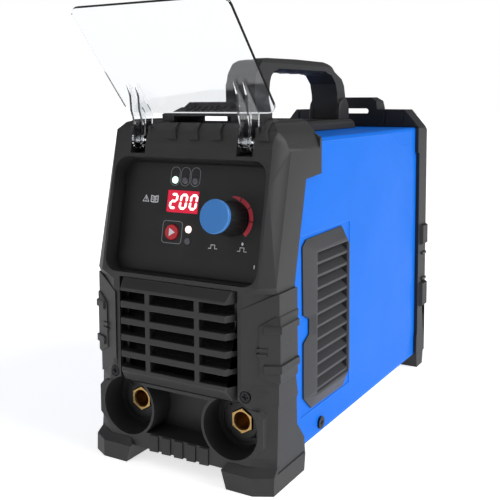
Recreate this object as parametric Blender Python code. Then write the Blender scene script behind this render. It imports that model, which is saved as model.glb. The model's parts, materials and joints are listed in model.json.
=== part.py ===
"""Stick welding inverter: a portable 200 A power source in a blue steel cover between two moulded frames.

Every sub-part is one closed solid.  Dimensions are millimetres in the machine's own layout (X to the right,
Y from the front feet to the back, Z up from the floor); place() turns them into metres about the part's origin.
"""
import math

import bmesh
import bpy
from mathutils import Matrix, Vector

# ---------------------------------------------------------------- driving dimensions, millimetres
MM = 0.001
LENGTH_MID = 153.915        # middle of the length, becomes Y = 0
GAP = 0.3                   # clearance between pieces that only sit together

SIDE_X = 76.5               # front frame, side plane
ARMOUR_X = 78.0             # raised corner armour
REAR_X = 74.8               # rear frame, side plane
COVER_X = 71.4              # blue cover, outer side plane
COVER_TOP = 239.0           # blue cover, outer top
COVER_BOTTOM = 13.5
SHEET = 1.0                 # cover sheet thickness
COVER_FRONT = 34.0
COVER_REAR = 322.0
CAVITY_X = COVER_X + GAP

FACE_Y = 5.0                # front face where the slanted part begins
FACE_Z = 141.8
FACE_TOP_Y = 22.5
FACE_TOP_Z = 225.7
RECESS_HALF = 65.0          # control recess
RECESS_RADIUS = 11.0
RECESS_DEPTH = 12.0         # to the face of the control panel
PANEL_THICK = 2.2
RECESS_FLOOR = RECESS_DEPTH + PANEL_THICK + GAP
RECESS_BACK = RECESS_FLOOR + 2.6
WINDOW_HALF = 50.0

SOCKET_X = 44.4
SOCKET_Z = 41.6
WELL_OUTER = 24.0
WELL_INNER = 22.0
WELL_FLOOR = 25.0
SOCKET_FLANGE = 18.4
SOCKET_BARREL = 12.4
SOCKET_FACE = 20.3

RIM_Y = 82.8                # rear edge of the front frame
ROOF_Z = 251.4
RIM_Z = 253.2
BLOCK_Y = 40.5              # raised block with the strap slot
BLOCK_HALF = 35.5
SLOT_HALF = 24.9
SLOT_LOW = 250.7
SLOT_HIGH = 255.3

PIVOT_X = 46.0              # shield hinge
PIVOT_Y = 29.0
PIVOT_Z = 237.6
PIN_RADIUS = 1.5
NOTCH_HALF = 6.6
KNUCKLE_HALF = 4.6
KNUCKLE_RADIUS = 6.7

SHIELD_HALF = 64.4
SHIELD_LOW = (37.5, 258.4)
SHIELD_HIGH = (-26.7, 330.7)
SHIELD_THICK = 2.6

HANDLE_HALF = 13.4
KNOB_X = 35.0               # control positions on the slanted face: across, up
KNOB_V = 45.5
BUTTON_X = -15.8
BUTTON_V = 32.4
LAMPS = {"lamp_hot": (-17.9, 70.8), "lamp_arc": (-8.9, 70.8), "lamp_force": (0.0, 70.8),
         "lamp_stick": (-1.8, 35.4), "lamp_lift": (-1.8, 26.9)}
LAMP_RADIUS = 2.6
DISPLAY_X = -9.3
DISPLAY_V = 55.2
DISPLAY_SIZE = (27.6, 16.4)

REAR_WALL = 309.0
REAR_EDGE = 331.0
FAN_X = 0.0
FAN_Z = 150.0
FAN_RADIUS = 43.0

face_up = Vector((0, FACE_TOP_Y - FACE_Y, FACE_TOP_Z - FACE_Z))
FACE_LENGTH = face_up.length
face_up.normalize()
face_out = Vector((0, -face_up.z, face_up.y))


# ---------------------------------------------------------------- helpers
def place(x, y, z):
    """A point of the layout, in metres about the part's origin."""
    return Vector((x * MM, (y - LENGTH_MID) * MM, z * MM))


def on_face(x, v, w):
    """A point given on the slanted control face: across, up the slope, outward."""
    p = Vector((x, FACE_Y, FACE_Z)) + face_up * v + face_out * w
    return place(p.x, p.y, p.z)


def material(name, colour, roughness, metallic=0.0):
    mat = bpy.data.materials.get(name)
    if mat is None:
        mat = bpy.data.materials.new(name)
        mat.use_nodes = True
        shader = mat.node_tree.nodes["Principled BSDF"]
        shader.inputs["Base Color"].default_value = (*colour, 1.0)
        shader.inputs["Roughness"].default_value = roughness
        shader.inputs["Metallic"].default_value = metallic
        mat.diffuse_color = (*colour, 1.0)
    return mat


def finish_mesh(bm, name):
    bmesh.ops.remove_doubles(bm, verts=bm.verts, dist=1e-6)
    bmesh.ops.connect_verts_nonplanar(bm, angle_limit=1e-4, faces=bm.faces)
    bmesh.ops.recalc_face_normals(bm, faces=bm.faces)
    mesh = bpy.data.meshes.new(name)
    bm.to_mesh(mesh)
    bm.free()
    body = bpy.data.objects.new(name, mesh)
    bpy.context.scene.collection.objects.link(body)
    return body


def hull_between(low, high, name="solid"):
    """Closed solid between two rings of the same number of points."""
    bm = bmesh.new()
    a = [bm.verts.new(p) for p in low]
    b = [bm.verts.new(p) for p in high]
    bm.faces.new(a)
    bm.faces.new(list(reversed(b)))
    for i in range(len(a)):
        j = (i + 1) % len(a)
        bm.faces.new((a[i], b[i], b[j], a[j]))
    return finish_mesh(bm, name)


def stack(rings, name="solid"):
    """Closed solid through several rings of the same number of points."""
    bm = bmesh.new()
    rows = [[bm.verts.new(p) for p in ring] for ring in rings]
    count = len(rows[0])
    bm.faces.new(rows[0])
    bm.faces.new(list(reversed(rows[-1])))
    for low, high in zip(rows, rows[1:]):
        for i in range(count):
            j = (i + 1) % count
            bm.faces.new((low[i], high[i], high[j], low[j]))
    return finish_mesh(bm, name)


def prism(axis, outline, lo, hi, name="solid"):
    """Outline in the two other axes, swept from lo to hi along the axis."""
    def point(p, w):
        if axis == "X":
            return place(w, p[0], p[1])
        if axis == "Y":
            return place(p[0], w, p[1])
        return place(p[0], p[1], w)
    return hull_between([point(p, lo) for p in outline], [point(p, hi) for p in outline], name)


def box(x, y, z, name="solid"):
    return prism("Z", [(x[0], y[0]), (x[1], y[0]), (x[1], y[1]), (x[0], y[1])], z[0], z[1], name)


def circle(cx, cy, radius, count, turn=0.0):
    step = 2 * math.pi / count
    return [(cx + radius * math.cos(turn + i * step), cy + radius * math.sin(turn + i * step))
            for i in range(count)]


def rod(axis, centre, radius, lo, hi, count=24, turn=0.0, name="solid"):
    return prism(axis, circle(centre[0], centre[1], radius, count, turn), lo, hi, name)


def rounded(x0, x1, y0, y1, radius, count=5):
    """Rounded rectangle, anticlockwise."""
    outline = []
    for cx, cy, start in ((x1 - radius, y0 + radius, -90), (x1 - radius, y1 - radius, 0),
                          (x0 + radius, y1 - radius, 90), (x0 + radius, y0 + radius, 180)):
        for k in range(count + 1):
            angle = math.radians(start + 90 * k / count)
            outline.append((cx + radius * math.cos(angle), cy + radius * math.sin(angle)))
    return outline


def face_prism(outline, inner, outer, name="solid"):
    """Outline on the slanted face, between two depths along its normal."""
    return hull_between([on_face(p[0], p[1], inner) for p in outline],
                        [on_face(p[0], p[1], outer) for p in outline], name)


def face_stack(rows, name="solid"):
    """Rings on the slanted face, each an outline with its depth."""
    return stack([[on_face(p[0], p[1], w) for p in outline] for outline, w in rows], name)


def combine(body, tool, operation):
    step = body.modifiers.new("step", "BOOLEAN")
    step.operation = operation
    step.solver = "EXACT"
    step.object = tool
    graph = bpy.context.evaluated_depsgraph_get()
    mesh = bpy.data.meshes.new_from_object(body.evaluated_get(graph))
    body.modifiers.clear()
    body.data = mesh
    bpy.data.objects.remove(tool)
    return body


def fuse(body, *tools):
    for tool in tools:
        combine(body, tool, "UNION")
    return body


def cut(body, *tools):
    for tool in tools:
        combine(body, tool, "DIFFERENCE")
    return body


def keep(body, tool):
    return combine(body, tool, "INTERSECT")


def mirrored(outline):
    """Full outline from its right half, given bottom to top."""
    return outline + [(-x, z) for x, z in reversed(outline)]


def part(body, name, mat, smooth=False, axis=None):
    """Name the finished solid, give it its material, and put its origin on its joint axis."""
    body.name = name
    mesh = body.data
    mesh.name = name
    bm = bmesh.new()
    bm.from_mesh(mesh)
    bmesh.ops.remove_doubles(bm, verts=bm.verts, dist=1e-6)
    bmesh.ops.dissolve_degenerate(bm, edges=bm.edges, dist=1e-6)
    bmesh.ops.recalc_face_normals(bm, faces=bm.faces)
    bm.to_mesh(mesh)
    bm.free()
    mesh.materials.clear()
    mesh.materials.append(mat)
    for face in mesh.polygons:
        face.material_index = 0
        face.use_smooth = smooth
    if axis is not None:
        mesh.transform(Matrix.Translation(-axis))
        body.location = axis
    return body


# ---------------------------------------------------------------- moulded front frame
def body_section(z, flat, face, corner, side, rear):
    half = [(side, rear), (side, corner), (flat, face)]
    return [place(x, y, z) for x, y in half] + [place(-x, y, z) for x, y in reversed(half)]


def face_at(z):
    """Depth of the front face at a height."""
    if z <= FACE_Z:
        return FACE_Y
    return FACE_Y + (z - FACE_Z) * (FACE_TOP_Y - FACE_Y) / (FACE_TOP_Z - FACE_Z)


def front_shell():
    rows = ((12.0, 60, 4.4, 12.4), (24.0, 61, 4.4, 13.6), (60.0, 61, 4.6, 15.2), (74.0, 56, 4.6, 15.2),
            (136.0, 56, FACE_Y, 15.4), (142.0, 67, FACE_Y, 12.6), (207.0, 67.4, face_at(207), 28.0),
            (232.0, 67.4, face_at(232), 34.4), (262.0, 67.4, face_at(262), 41.0))
    outer = stack([body_section(z, flat, face, corner, SIDE_X, RIM_Y) for z, flat, face, corner in rows])
    top_front = [(-40, -5), (90, -5), (90, 254.6), (44, 254.2), (38.5, 252.8), (33, 249.8), (28.9, 245.6),
                 (25.9, 240.2), (24.3, 235), (23.9, 231.8), (face_at(FACE_Z) - 6, FACE_Z - 20), (-40, FACE_Z - 20)]
    keep(outer, prism("X", top_front, -90, 90))
    shoulders = mirrored([(SIDE_X + 2, -5), (SIDE_X + 2, 228.0), (SIDE_X - 1.5, 234.6), (73.4, 239.8), (70.3, 244.2),
                          (65.8, 249.0), (64.8, 250.8), (61.4, 251.6), (60.6, 252.8), (55.0, 253.0),
                          (54.0, ROOF_Z)])
    keep(outer, prism("Y", shoulders, -30, 100))
    inner_rows = ((13.2, 58, 8.0, 17.5), (72.0, 57, 8.0, 18.5), (136.0, 57, 8.4, 19.0), (142.0, 63, 8.4, 17.0),
                  (COVER_TOP + 0.7, 63, face_at(COVER_TOP) + 3.6, 41.0))
    cut(outer, stack([body_section(z, flat, face, corner, CAVITY_X, 95) for z, flat, face, corner in inner_rows]))
    return outer


def frame_foot(side):
    """Chamfered front foot."""
    rows = ((0.0, ((43.4, 0.0), (64.6, 0.0), (SIDE_X + 0.8, 6.9), (SIDE_X + 0.8, 53.0), (43.4, 53.0))),
            (12.4, ((39.6, 0.0), (64.6, 0.0), (SIDE_X + 0.8, 7.4), (SIDE_X + 0.8, 54.8), (39.6, 54.8))),
            (13.1, ((39.0, 0.6), (64.6, 0.6), (SIDE_X + 0.8, 8.0), (SIDE_X + 0.8, 54.8), (39.0, 54.8))))
    foot = stack([[place(side * x, y, z) for x, y in ring] for z, ring in rows])
    toe_rows = ((13.1, ((39.2, 0.6), (64.6, 0.6), (SIDE_X + 0.8, 8.0), (SIDE_X + 0.8, 12), (39.2, 12))),
                (17.6, ((43.0, 4.0), (61.0, 4.0), (SIDE_X + 0.1, 13.4), (SIDE_X + 0.1, 17), (43.0, 17))))
    fuse(foot, stack([[place(side * x, y, z) for x, y in ring] for z, ring in toe_rows]))
    return foot


def armour_ring(side, z, start, proud, reach=ARMOUR_X, corner_y=14.2, lead_y=3.6):
    """Section of a layer that begins on the chamfer and runs round the corner to the side's rear edge."""
    lead = Vector((54.0, lead_y))
    run = Vector((reach - 54.0, corner_y - lead_y)).normalized()
    out = Vector((run.y, -run.x))
    low, high = lead + run * start - out * 1.0, lead + run * start + out * proud
    points = [low, high, Vector((reach + proud, corner_y - 0.37 * proud)), Vector((reach + proud, RIM_Y)),
              Vector((CAVITY_X + 0.6, RIM_Y)), Vector((CAVITY_X + 0.6, 22.0))]
    return [place(side * p.x, p.y, z) for p in points]


def corner_armour(side):
    """Guard round the front corner: skirt, plate, raised field with pointed ends, two bars and two ridges."""
    def layer(rows, **shape):
        return stack([armour_ring(side, z, start, proud, **shape) for z, start, proud in rows])
    guard = layer(((75.4, 0.0, 0.0), (140.2, 0.0, 0.0)))
    cut(guard, prism("Y", [(side * 50, 124.6), (side * 75.9, 137.2), (side * 90, 140.4), (side * 90, 150),
                           (side * 50, 150)], -5, 100))
    skirt = layer(((56.0, 0.0, 0.0), (75.8, 0.0, 0.0)), reach=ARMOUR_X - 0.7, corner_y=14.6, lead_y=4.0)
    cut(skirt, prism("Y", [(side * 50, 50), (side * 50, 73.4), (side * 76.5, 60.4), (side * 90, 58.9),
                           (side * 90, 50)], -5, 100))
    field = layer(((76.0, 24.6, 0.1), (76.9, 22.6, 0.9), (81.6, 12.6, 0.9), (115.6, 12.6, 0.9),
                   (121.8, 22.6, 0.9), (122.7, 24.6, 0.1)))
    fuse(guard, skirt, field)
    for low, high in ((110.0, 116.8), (82.8, 89.8)):
        fuse(guard, layer(((low, 15.4, 0.6), (low + 1.0, 15.9, 2.4), (high - 1.0, 15.9, 2.4), (high, 15.4, 0.6))))
    run = Vector((ARMOUR_X - 54.0, 14.2 - 3.6)).normalized()
    out = Vector((run.y, -run.x))
    for low in (95.2, 98.9):
        ridge = []
        for along, proud in ((10.2, -1.0), (18.6, -1.0), (18.0, 1.7), (10.8, 1.7)):
            spot = Vector((54.0, 3.6)) + run * along + out * proud
            ridge.append((side * spot.x, spot.y))
        fuse(guard, prism("Z", ridge, low, low + 1.7))
    return guard


def flange_cutter():
    """Everything behind the stepped rear outline of the side flanges."""
    return prism("X", [(RIM_Y + 12, 213.2), (RIM_Y, 213.2), (57.4, 211.2), (56.6, 207.4), (39.7, 140.1),
                       (40.6, 136.1), (40.5, 119.7), (39.0, 115.8), (39.6, 88.8), (39.6, 75.0), (43.4, 58.4),
                       (42.4, 57.6), (43.0, 38.2), (54.6, 24.3), (55.8, 14.1), (55.8, -2.0), (RIM_Y + 12, -2.0)],
                 -100, 100)


def socket_plate(side):
    """Eight-sided plate round a socket well, standing out of the corner chamfer."""
    return prism("Y", [(side * 50.0, 24.4), (side * 62.2, 24.4), (side * 70.6, 32.7), (side * 70.6, 53.1),
                       (side * 66.8, 57.4), (side * 50.0, 60.0)], 4.25, 12.8)


def brow_rib(x):
    """Low rib over the curved front edge, with a pointed foot."""
    rib = prism("X", [(45, 238.0), (45, 252.9), (43.6, 253.3), (37.6, 253.9), (31.7, 251.4), (27.0, 246.9),
                      (23.8, 241.0), (23.0, 238.0)], x - 6, x + 6)
    keep(rib, prism("Y", [(x - 1.5, 255), (x - 1.5, 245.4), (x - 4.2, 239.3), (x + 4.2, 239.3), (x + 1.5, 245.4),
                          (x + 1.5, 255)], 15, 44.2))
    return rib


def top_block():
    """Raised centre block: slot face, ribbed ramp and crest."""
    block = prism("X", [(BLOCK_Y, 246), (BLOCK_Y, 257.4), (44.5, 257.9), (53.5, 262.6), (RIM_Y, 262.6), (RIM_Y, 246)],
                  -BLOCK_HALF, BLOCK_HALF)
    keep(block, prism("Y", mirrored([(BLOCK_HALF, 240), (BLOCK_HALF, 256.6), (BLOCK_HALF - 5.0, 258.6),
                                     (25.4, 263.5)]), 20, 100))
    crest = prism("Y", mirrored([(24.0, 258.0), (24.0, 262.9), (19.4, 266.4)]), 54.2, RIM_Y)
    fuse(block, crest)
    for k in range(-4, 5):
        x = k * 5.4
        rib = hull_between([place(x - 0.9, 44.0, 257.0), place(x + 1.3, 44.0, 257.0),
                            place(x + 1.3, 44.0, 259.0), place(x - 0.9, 44.0, 259.0)],
                           [place(x - 0.9, 54.6, 262.0), place(x + 1.3, 54.6, 262.0),
                            place(x + 1.3, 54.6, 264.2), place(x - 0.9, 54.6, 264.2)])
        if abs(k) < 4:
            fuse(block, rib)
        else:
            bpy.data.objects.remove(rib)
    return block


def front_frame(mat):
    body = front_shell()
    fuse(body, corner_armour(1), corner_armour(-1))
    cut(body, flange_cutter())
    fuse(body, frame_foot(1), frame_foot(-1))
    # rear rim standing over the cover
    rim = prism("Y", mirrored([(SIDE_X, 228), (SIDE_X, 239.2), (57.2, RIM_Z)]), RIM_Y - 3.0, RIM_Y)
    cut(rim, box((-CAVITY_X, CAVITY_X), (70, 90), (200, COVER_TOP + 0.4)))
    fuse(body, rim, top_block())
    # deep blocks that carry the recesses
    fuse(body, face_prism(rounded(-68, 68, -2.6, FACE_LENGTH + 2.6, 13), -RECESS_BACK, -0.8))
    fuse(body, prism("Z", [(-69.4, 12.6), (-62.0, 7.2), (62.0, 7.2), (69.4, 12.6), (69.4, WELL_FLOOR + 2.8),
                           (-69.4, WELL_FLOOR + 2.8)], 16.4, 66.0))
    fuse(body, socket_plate(1), socket_plate(-1))
    for side in (1, -1):
        x = sorted((side * (PIVOT_X - NOTCH_HALF - 2.6), side * (PIVOT_X + NOTCH_HALF + 2.6)))
        fuse(body, box(x, (27.6, 46.5), (226.4, 248.0)))
    # control recess and the window in its floor
    cut(body, face_prism(rounded(-RECESS_HALF, RECESS_HALF, 0, FACE_LENGTH, RECESS_RADIUS), -RECESS_FLOOR, 30))
    cut(body, face_prism(rounded(-WINDOW_HALF, WINDOW_HALF, 6, FACE_LENGTH - 6, 4, 2), -RECESS_BACK - 5, 0))
    # socket wells standing in the dark gap between them
    gap = box((-SOCKET_X, SOCKET_X), (-5, WELL_FLOOR), (24.0, 58.6))
    for side in (1, -1):
        cut(gap, rod("Y", (side * SOCKET_X, SOCKET_Z), WELL_OUTER, -6, WELL_FLOOR + 1, 36))
    cut(body, gap)
    for side in (1, -1):
        cut(body, rod("Y", (side * SOCKET_X, SOCKET_Z), WELL_INNER, -5, WELL_FLOOR, 36))
        cut(body, rod("Y", (side * SOCKET_X, SOCKET_Z), SOCKET_BARREL + GAP + 0.1, 10, 40, 24))
    # grille opening with its rebate
    cut(body, box((-50.6, 50.6), (-5, 30), (66.6, 136.4)))
    cut(body, box((-50.6, 50.6), (-5, 8.4), (61.2, 138.6)))
    # hinge notches and pin bores
    for side in (1, -1):
        x = sorted((side * (PIVOT_X - NOTCH_HALF), side * (PIVOT_X + NOTCH_HALF)))
        cut(body, box(x, (10, 43.5), (228.2, 256)))
        x = sorted((side * (PIVOT_X - NOTCH_HALF - 1.8), side * (PIVOT_X + NOTCH_HALF + 1.8)))
        cut(body, rod("X", (PIVOT_Y, PIVOT_Z), PIN_RADIUS + 0.15, x[0], x[1], 16))
    for x in (-15.8, 3.6, 23.0, 60.2):
        fuse(body, brow_rib(x))
    # strap slot and screw seats
    cut(body, box((-SLOT_HALF, SLOT_HALF), (30, 95), (SLOT_LOW, SLOT_HIGH)))
    for side in (1, -1):
        cut(body, rod("Y", (side * 56.4, 66.2), 4.3, -5, 7.2, 20))
        cut(body, rod("Y", (side * 56.4, 66.2), 1.9, 0, 20, 12))
    # ribs on the bottom lip
    for k in range(-2, 3):
        x = k * 10.9 + 1.2
        fuse(body, prism("Z", [(x - 3.6, 5.2), (x - 3.6, 2.9), (x + 3.6, 3.5), (x + 3.6, 5.2)], 11.3, 23.4))
    return part(body, "front_frame", mat)


def front_grille(mat):
    """Convex louvre box: five blades and two uprights with bevelled borders."""
    def ring(z, half, face):
        pts = [(50.2, 14.0), (50.2, 9.6), (half, face)]
        return [place(x, y, z) for x, y in pts] + [place(-x, y, z) for x, y in reversed(pts)]
    body = stack([ring(61.6, 46.8, 4.6), ring(69.6, 44.9, -1.4), ring(131.6, 44.9, -1.4), ring(138.2, 46.8, 4.6)])
    cut(body, box((-60, 60), (8.1, 20), (50, 66.9)), box((-60, 60), (8.1, 20), (136.1, 150)))

    def hollow(z, half, face):
        pts = [(47.6, 20.0), (47.6, 11.0), (half - 3.4, face + 5.2)]
        return [place(x, y, z) for x, y in pts] + [place(-x, y, z) for x, y in reversed(pts)]
    cut(body, stack([hollow(68.6, 44.9, 0.4), hollow(133.8, 44.9, 0.4)]))
    for row in range(5):
        z = 72.9 + row * 12.3
        for x0, x1 in ((-60, -23.2), (-19.2, 19.2), (23.2, 60)):
            cut(body, box((x0, x1), (-5, 9.2), (z, z + 7.4)))
    return part(body, "front_grille", mat)


def dust_filter(mat):
    """Thin foam filter standing against the rear edge of the grille."""
    return part(box((-49.9, 49.9), (14.3, 15.9), (67.2, 135.8)), "dust_filter", mat)


def head_screw(name, mat, axis, sign, centre, seat, head, head_depth, shank, length):
    """Cross-head screw along X or Y; sign is the way the head faces."""
    a, b = sorted((seat, seat + sign * head_depth))
    body = rod(axis, centre, head, a, b, 20)
    a, b = sorted((seat + sign * 0.5, seat - sign * length))
    fuse(body, rod(axis, centre, shank, a, b, 12))
    top = seat + sign * head_depth
    a, b = sorted((top - sign * 1.0, top + sign * 1.0))
    arm = head * 0.55
    cross = []
    for dx, dz in ((arm, 0.55), (0.55, arm)):
        cross.append([(centre[0] - dx, centre[1] - dz), (centre[0] + dx, centre[1] - dz),
                      (centre[0] + dx, centre[1] + dz), (centre[0] - dx, centre[1] + dz)])
    cut(body, prism(axis, cross[0], a, b), prism(axis, cross[1], a, b))
    return part(body, name, mat)


# ---------------------------------------------------------------- rear frame, cover, base
def rear_outline():
    return mirrored([(REAR_X, 13.0), (REAR_X, 236.5), (73.0, 240.0), (59.2, 256.2), (30.5, 256.4), (29.7, 264.7),
                     (23.7, 268.4)])


def rear_frame(mat):
    body = prism("Y", rear_outline(), REAR_WALL, REAR_EDGE)
    keep(body, prism("X", [(300, -5), (REAR_EDGE, -5), (REAR_EDGE, 258), (REAR_EDGE - 5, 270), (300, 270)], -90, 90))
    for side in (1, -1):
        x = sorted((side * (CAVITY_X - 2.0), side * REAR_X))
        flange = prism("X", [(305.5, 238.4), (305.5, 215.0), (316.4, 211.0), (317.6, 59.6), (307.5, 31.5), (307.5, 13.0),
                             (325, 13.0), (325, 238.4)], x[0], x[1])
        fuse(body, flange)
        foot = stack([[place(side * fx, fy, 0.0) for fx, fy in
                       ((52.0, 310), (REAR_X - 0.2, 310), (REAR_X - 0.2, 326), (68.0, 333.0), (52.0, 333.0))],
                      [place(side * fx, fy, 13.4) for fx, fy in
                       ((48.0, 307.5), (REAR_X, 307.5), (REAR_X, 328), (69.0, 334.5), (48.0, 334.5))],
                      [place(side * fx, fy, 20.0) for fx, fy in
                       ((44.0, 309.5), (REAR_X, 309.5), (REAR_X, 326), (68.0, 331.0), (44.0, 331.0))]])
        fuse(body, foot)
        for low, high in ((62.0, 84.0), (124.0, 142.0)):
            x = sorted((side * (REAR_X - 1), side * (REAR_X + 3.2)))
            inner = [place(x0, y0, z0) for x0, y0, z0 in
                     ((side * (REAR_X - 1), 312.5, low - 1.5), (side * (REAR_X - 1), 330.5, low - 1.5),
                      (side * (REAR_X - 1), 330.5, high + 1.5), (side * (REAR_X - 1), 312.5, high + 1.5))]
            outer = [place(x0, y0, z0) for x0, y0, z0 in
                     ((side * (REAR_X + 3.0), 315.0, low), (side * (REAR_X + 3.0), 328.5, low),
                      (side * (REAR_X + 3.0), 328.5, high), (side * (REAR_X + 3.0), 315.0, high))]
            fuse(body, hull_between(inner, outer))
        for low in (87.0, 112.6):
            x = sorted((side * (REAR_X - 1), side * (REAR_X + 1.4)))
            fuse(body, box(x, (318.5, 330.0), (low, low + 2.2)))
    cut(body, box((-CAVITY_X, CAVITY_X), (290, 325.0), (13.4, COVER_TOP + 0.4)))
    cut(body, prism("Y", rounded(-60, 60, 28, 226, 6, 3), 300, 340))
    cut(body, prism("Y", rounded(-21.5, 21.5, 252.0, 257.3, 2.6, 3), 300, 340))
    cut(body, box((-36, 36), (REAR_WALL + 3, REAR_EDGE - 3), (COVER_TOP - 1, 249.0)))
    for x in (-57, -38, 38, 57):
        fuse(body, box((x - 0.8, x + 0.8), (REAR_WALL - 1.4, REAR_WALL + 1), (243.0, 254.0)))
    return part(body, "rear_frame", mat)


def bent_cover(mat):
    """Blue steel cover: one sheet bent into a U with rounded shoulders."""
    def half(offset, radius):
        pts = [(COVER_X - offset, COVER_BOTTOM)]
        for k in range(5):
            angle = math.radians(90 * k / 4)
            pts.append((COVER_X - offset - radius + radius * math.cos(angle),
                        COVER_TOP - offset - radius + radius * math.sin(angle)))
        return pts
    outer = half(0.0, 3.2)
    inner = half(SHEET, 2.2)
    outline = outer + [(-x, z) for x, z in reversed(outer)] + inner_loop(inner)
    body = prism("Y", outline, COVER_FRONT, COVER_REAR)
    cut(body, box((-60, 60), (20, 50), (225, 250)))
    cut(body, prism("X", [(20, 150), (34.5, 150), (46, 222), (46, 250), (20, 250)], -90, 90))
    cut(body, prism("X", rounded(75.6, 138.4, 46.0, 157.4, 2, 2), -90, 90))
    for y in (89.9,):
        cut(body, rod("X", (y, 21.6), 2.3, -90, 90, 12))
    for y in (112, 262):
        cut(body, rod("Z", (0, y), 2.6, 230, 250, 12))
    return part(body, "cover", mat)


def inner_loop(inner):
    return [(-x, z) for x, z in inner] + [(x, z) for x, z in reversed(inner)]


def base_pan(mat):
    x = COVER_X - SHEET - GAP
    body = box((-x, x), (40, 318), (14.0, 15.2))
    for side in (1, -1):
        edge = sorted((side * x, side * (x - 1.2)))
        fuse(body, box(edge, (40, 318), (14.0, 32.0)))
    cut(body, rod("X", (89.9, 21.6), 2.3, -90, 90, 12))
    for y in range(7):
        cut(body, box((-40, 40), (120 + 24 * y, 128 + 24 * y), (10, 20)))
    return part(body, "base_pan", mat)


def side_vent(side, name, mat):
    """Bevelled louvre insert in the cover's side."""
    outline = [(65.8, 166.4), (59.5, 161.8), (61.0, 111.5), (70.4, 106.9), (70.4, 95.5), (61.4, 90.5), (61.5, 49.3),
               (74.1, 38.2), (131.5, 37.4), (143.8, 47.5), (142.1, 153.4), (128.5, 167.7)]
    crown = [(78.6, 157.4), (76.0, 155.0), (76.0, 110.5), (76.2, 107.0), (76.2, 95.5), (76.0, 91.5), (76.0, 52.5),
             (80.0, 47.0), (131.5, 46.2), (137.6, 50.5), (136.6, 152.5), (128.5, 158.6)]
    seat = COVER_X + GAP
    body = stack([[place(side * seat, y, z) for y, z in outline], [place(side * (seat + 0.9), y, z) for y, z in outline],
                  [place(side * (seat + 4.2), y, z) for y, z in crown]])
    plug = [(76.6, 47.0), (137.4, 47.0), (137.4, 156.4), (76.6, 156.4)]
    fuse(body, hull_between([place(side * (seat - 3.6), y, z) for y, z in plug],
                            [place(side * (seat + 0.5), y, z) for y, z in plug]))
    window = [(78.4, 49.6), (134.6, 49.6), (134.6, 154.4), (78.4, 154.4)]
    flare = [(77.4, 48.6), (135.6, 48.6), (135.6, 155.6), (77.4, 155.6)]
    cut(body, stack([[place(side * (seat - 9), y, z) for y, z in window],
                     [place(side * (seat + 2.8), y, z) for y, z in window],
                     [place(side * (seat + 4.4), y, z) for y, z in flare]]))
    for k in range(11):
        z = 49.6 + k * 9.53
        x0, x1 = side * (seat - 3.0), side * (seat + 3.0)
        slat = prism("Y", [(x0, z + 6.4), (x0, z + 8.0), (x1, z + 2.6), (x1, z + 0.6)], 77.6, 135.4)
        fuse(body, slat)
    return part(body, name, mat)


# ---------------------------------------------------------------- handle
def handle_saddle(mat):
    """Low platform under the handle, on the cover."""
    z0 = COVER_TOP + GAP
    rows = ((z0, 21.0, 94.0, 281.0), (z0 + 5.6, 20.0, 95.0, 280.0), (z0 + 8.6, 17.0, 98.0, 278.0))
    body = stack([[place(x, y, z) for x, y in rounded(-half, half, lo, hi, 4.0, 2)] for z, half, lo, hi in rows])
    cut(body, box((-14, 14), (133, 240), (z0 + 6.2, z0 + 12)))
    for y in (112, 262):
        cut(body, rod("Z", (0, y), 2.6, 230, 260, 12))
    return part(body, "handle_saddle", mat)


def handle(mat):
    """Carry handle: front post, grip with finger waves, rear post."""
    foot = COVER_TOP + GAP + 8.6 + GAP
    outer = [(97.5, foot), (96.6, 262.0), (96.2, 279.5), (98.6, 288.0), (104.5, 295.0), (111.5, 299.2), (122.0, 300.4),
             (175.0, 301.2), (229.0, 300.6), (236.6, 297.9), (245.1, 291.9), (261.0, 285.6), (266.6, 279.5),
             (270.0, 267.7), (273.0, 258.0), (276.5, foot)]
    body = prism("X", outer, -HANDLE_HALF, HANDLE_HALF)
    opening = [(124.0, foot - 5), (123.0, 258.0), (118.9, 268.0), (118.8, 275.7), (119.8, 281.4), (122.1, 286.0),
               (126.4, 289.4), (133.6, 291.2)]
    for k in range(19):
        y = 137.0 + k * 4.7
        opening.append((y, 290.4 - 1.1 * math.cos(2 * math.pi * (y - 137.0) / 21.2)))
    opening += [(226.5, 291.2), (238.2, 288.6), (247.5, 281.0), (251.0, 271.0), (252.1, 255.1), (252.1, foot - 5)]
    cut(body, prism("X", opening, -30, 30))
    section = mirrored([(HANDLE_HALF, foot - 2), (HANDLE_HALF, 296.2), (HANDLE_HALF - 2.0, 299.0),
                        (HANDLE_HALF - 5.5, 301.4)])
    keep(body, prism("Y", section, 80, 300))
    for side in (1, -1):
        relief = prism("Y", [(side * 16, 285), (side * HANDLE_HALF, 292.2), (side * (HANDLE_HALF - 5.0), 288.4),
                             (side * (HANDLE_HALF - 6.5), 280)], 134.0, 226.0)
        cut(body, relief)
    for side in (1, -1):
        fuse(body, rear_boss(side, foot))
    for y in (112, 262):
        cut(body, rod("Z", (0, y), 2.3, 240, 270, 12))
    return part(body, "handle", mat)


def rear_boss(side, foot):
    """Half-round pad on the flank of the rear post."""
    def ring(x, radius, top):
        points = [(262.0 + radius, foot), (262.0 + radius, top)]
        points += [(262.0 + radius * math.cos(math.radians(a)), top + radius * math.sin(math.radians(a)))
                   for a in (30, 60, 90, 120, 150)]
        points += [(262.0 - radius, top), (262.0 - radius, foot)]
        return [place(side * x, y, z) for y, z in points]
    return stack([ring(HANDLE_HALF - 1.5, 11.4, 257.0), ring(HANDLE_HALF + 1.6, 11.4, 257.0),
                  ring(HANDLE_HALF + 2.6, 10.2, 257.0)])


def handle_screw(name, y, mat):
    """Screw from under the cover into a handle post."""
    body = rod("Z", (0, y), 4.4, COVER_TOP - SHEET - 3.2, COVER_TOP - SHEET - 0.1, 16)
    fuse(body, rod("Z", (0, y), 2.0, COVER_TOP - SHEET - 1, 264, 12))
    return part(body, name, mat)


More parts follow.
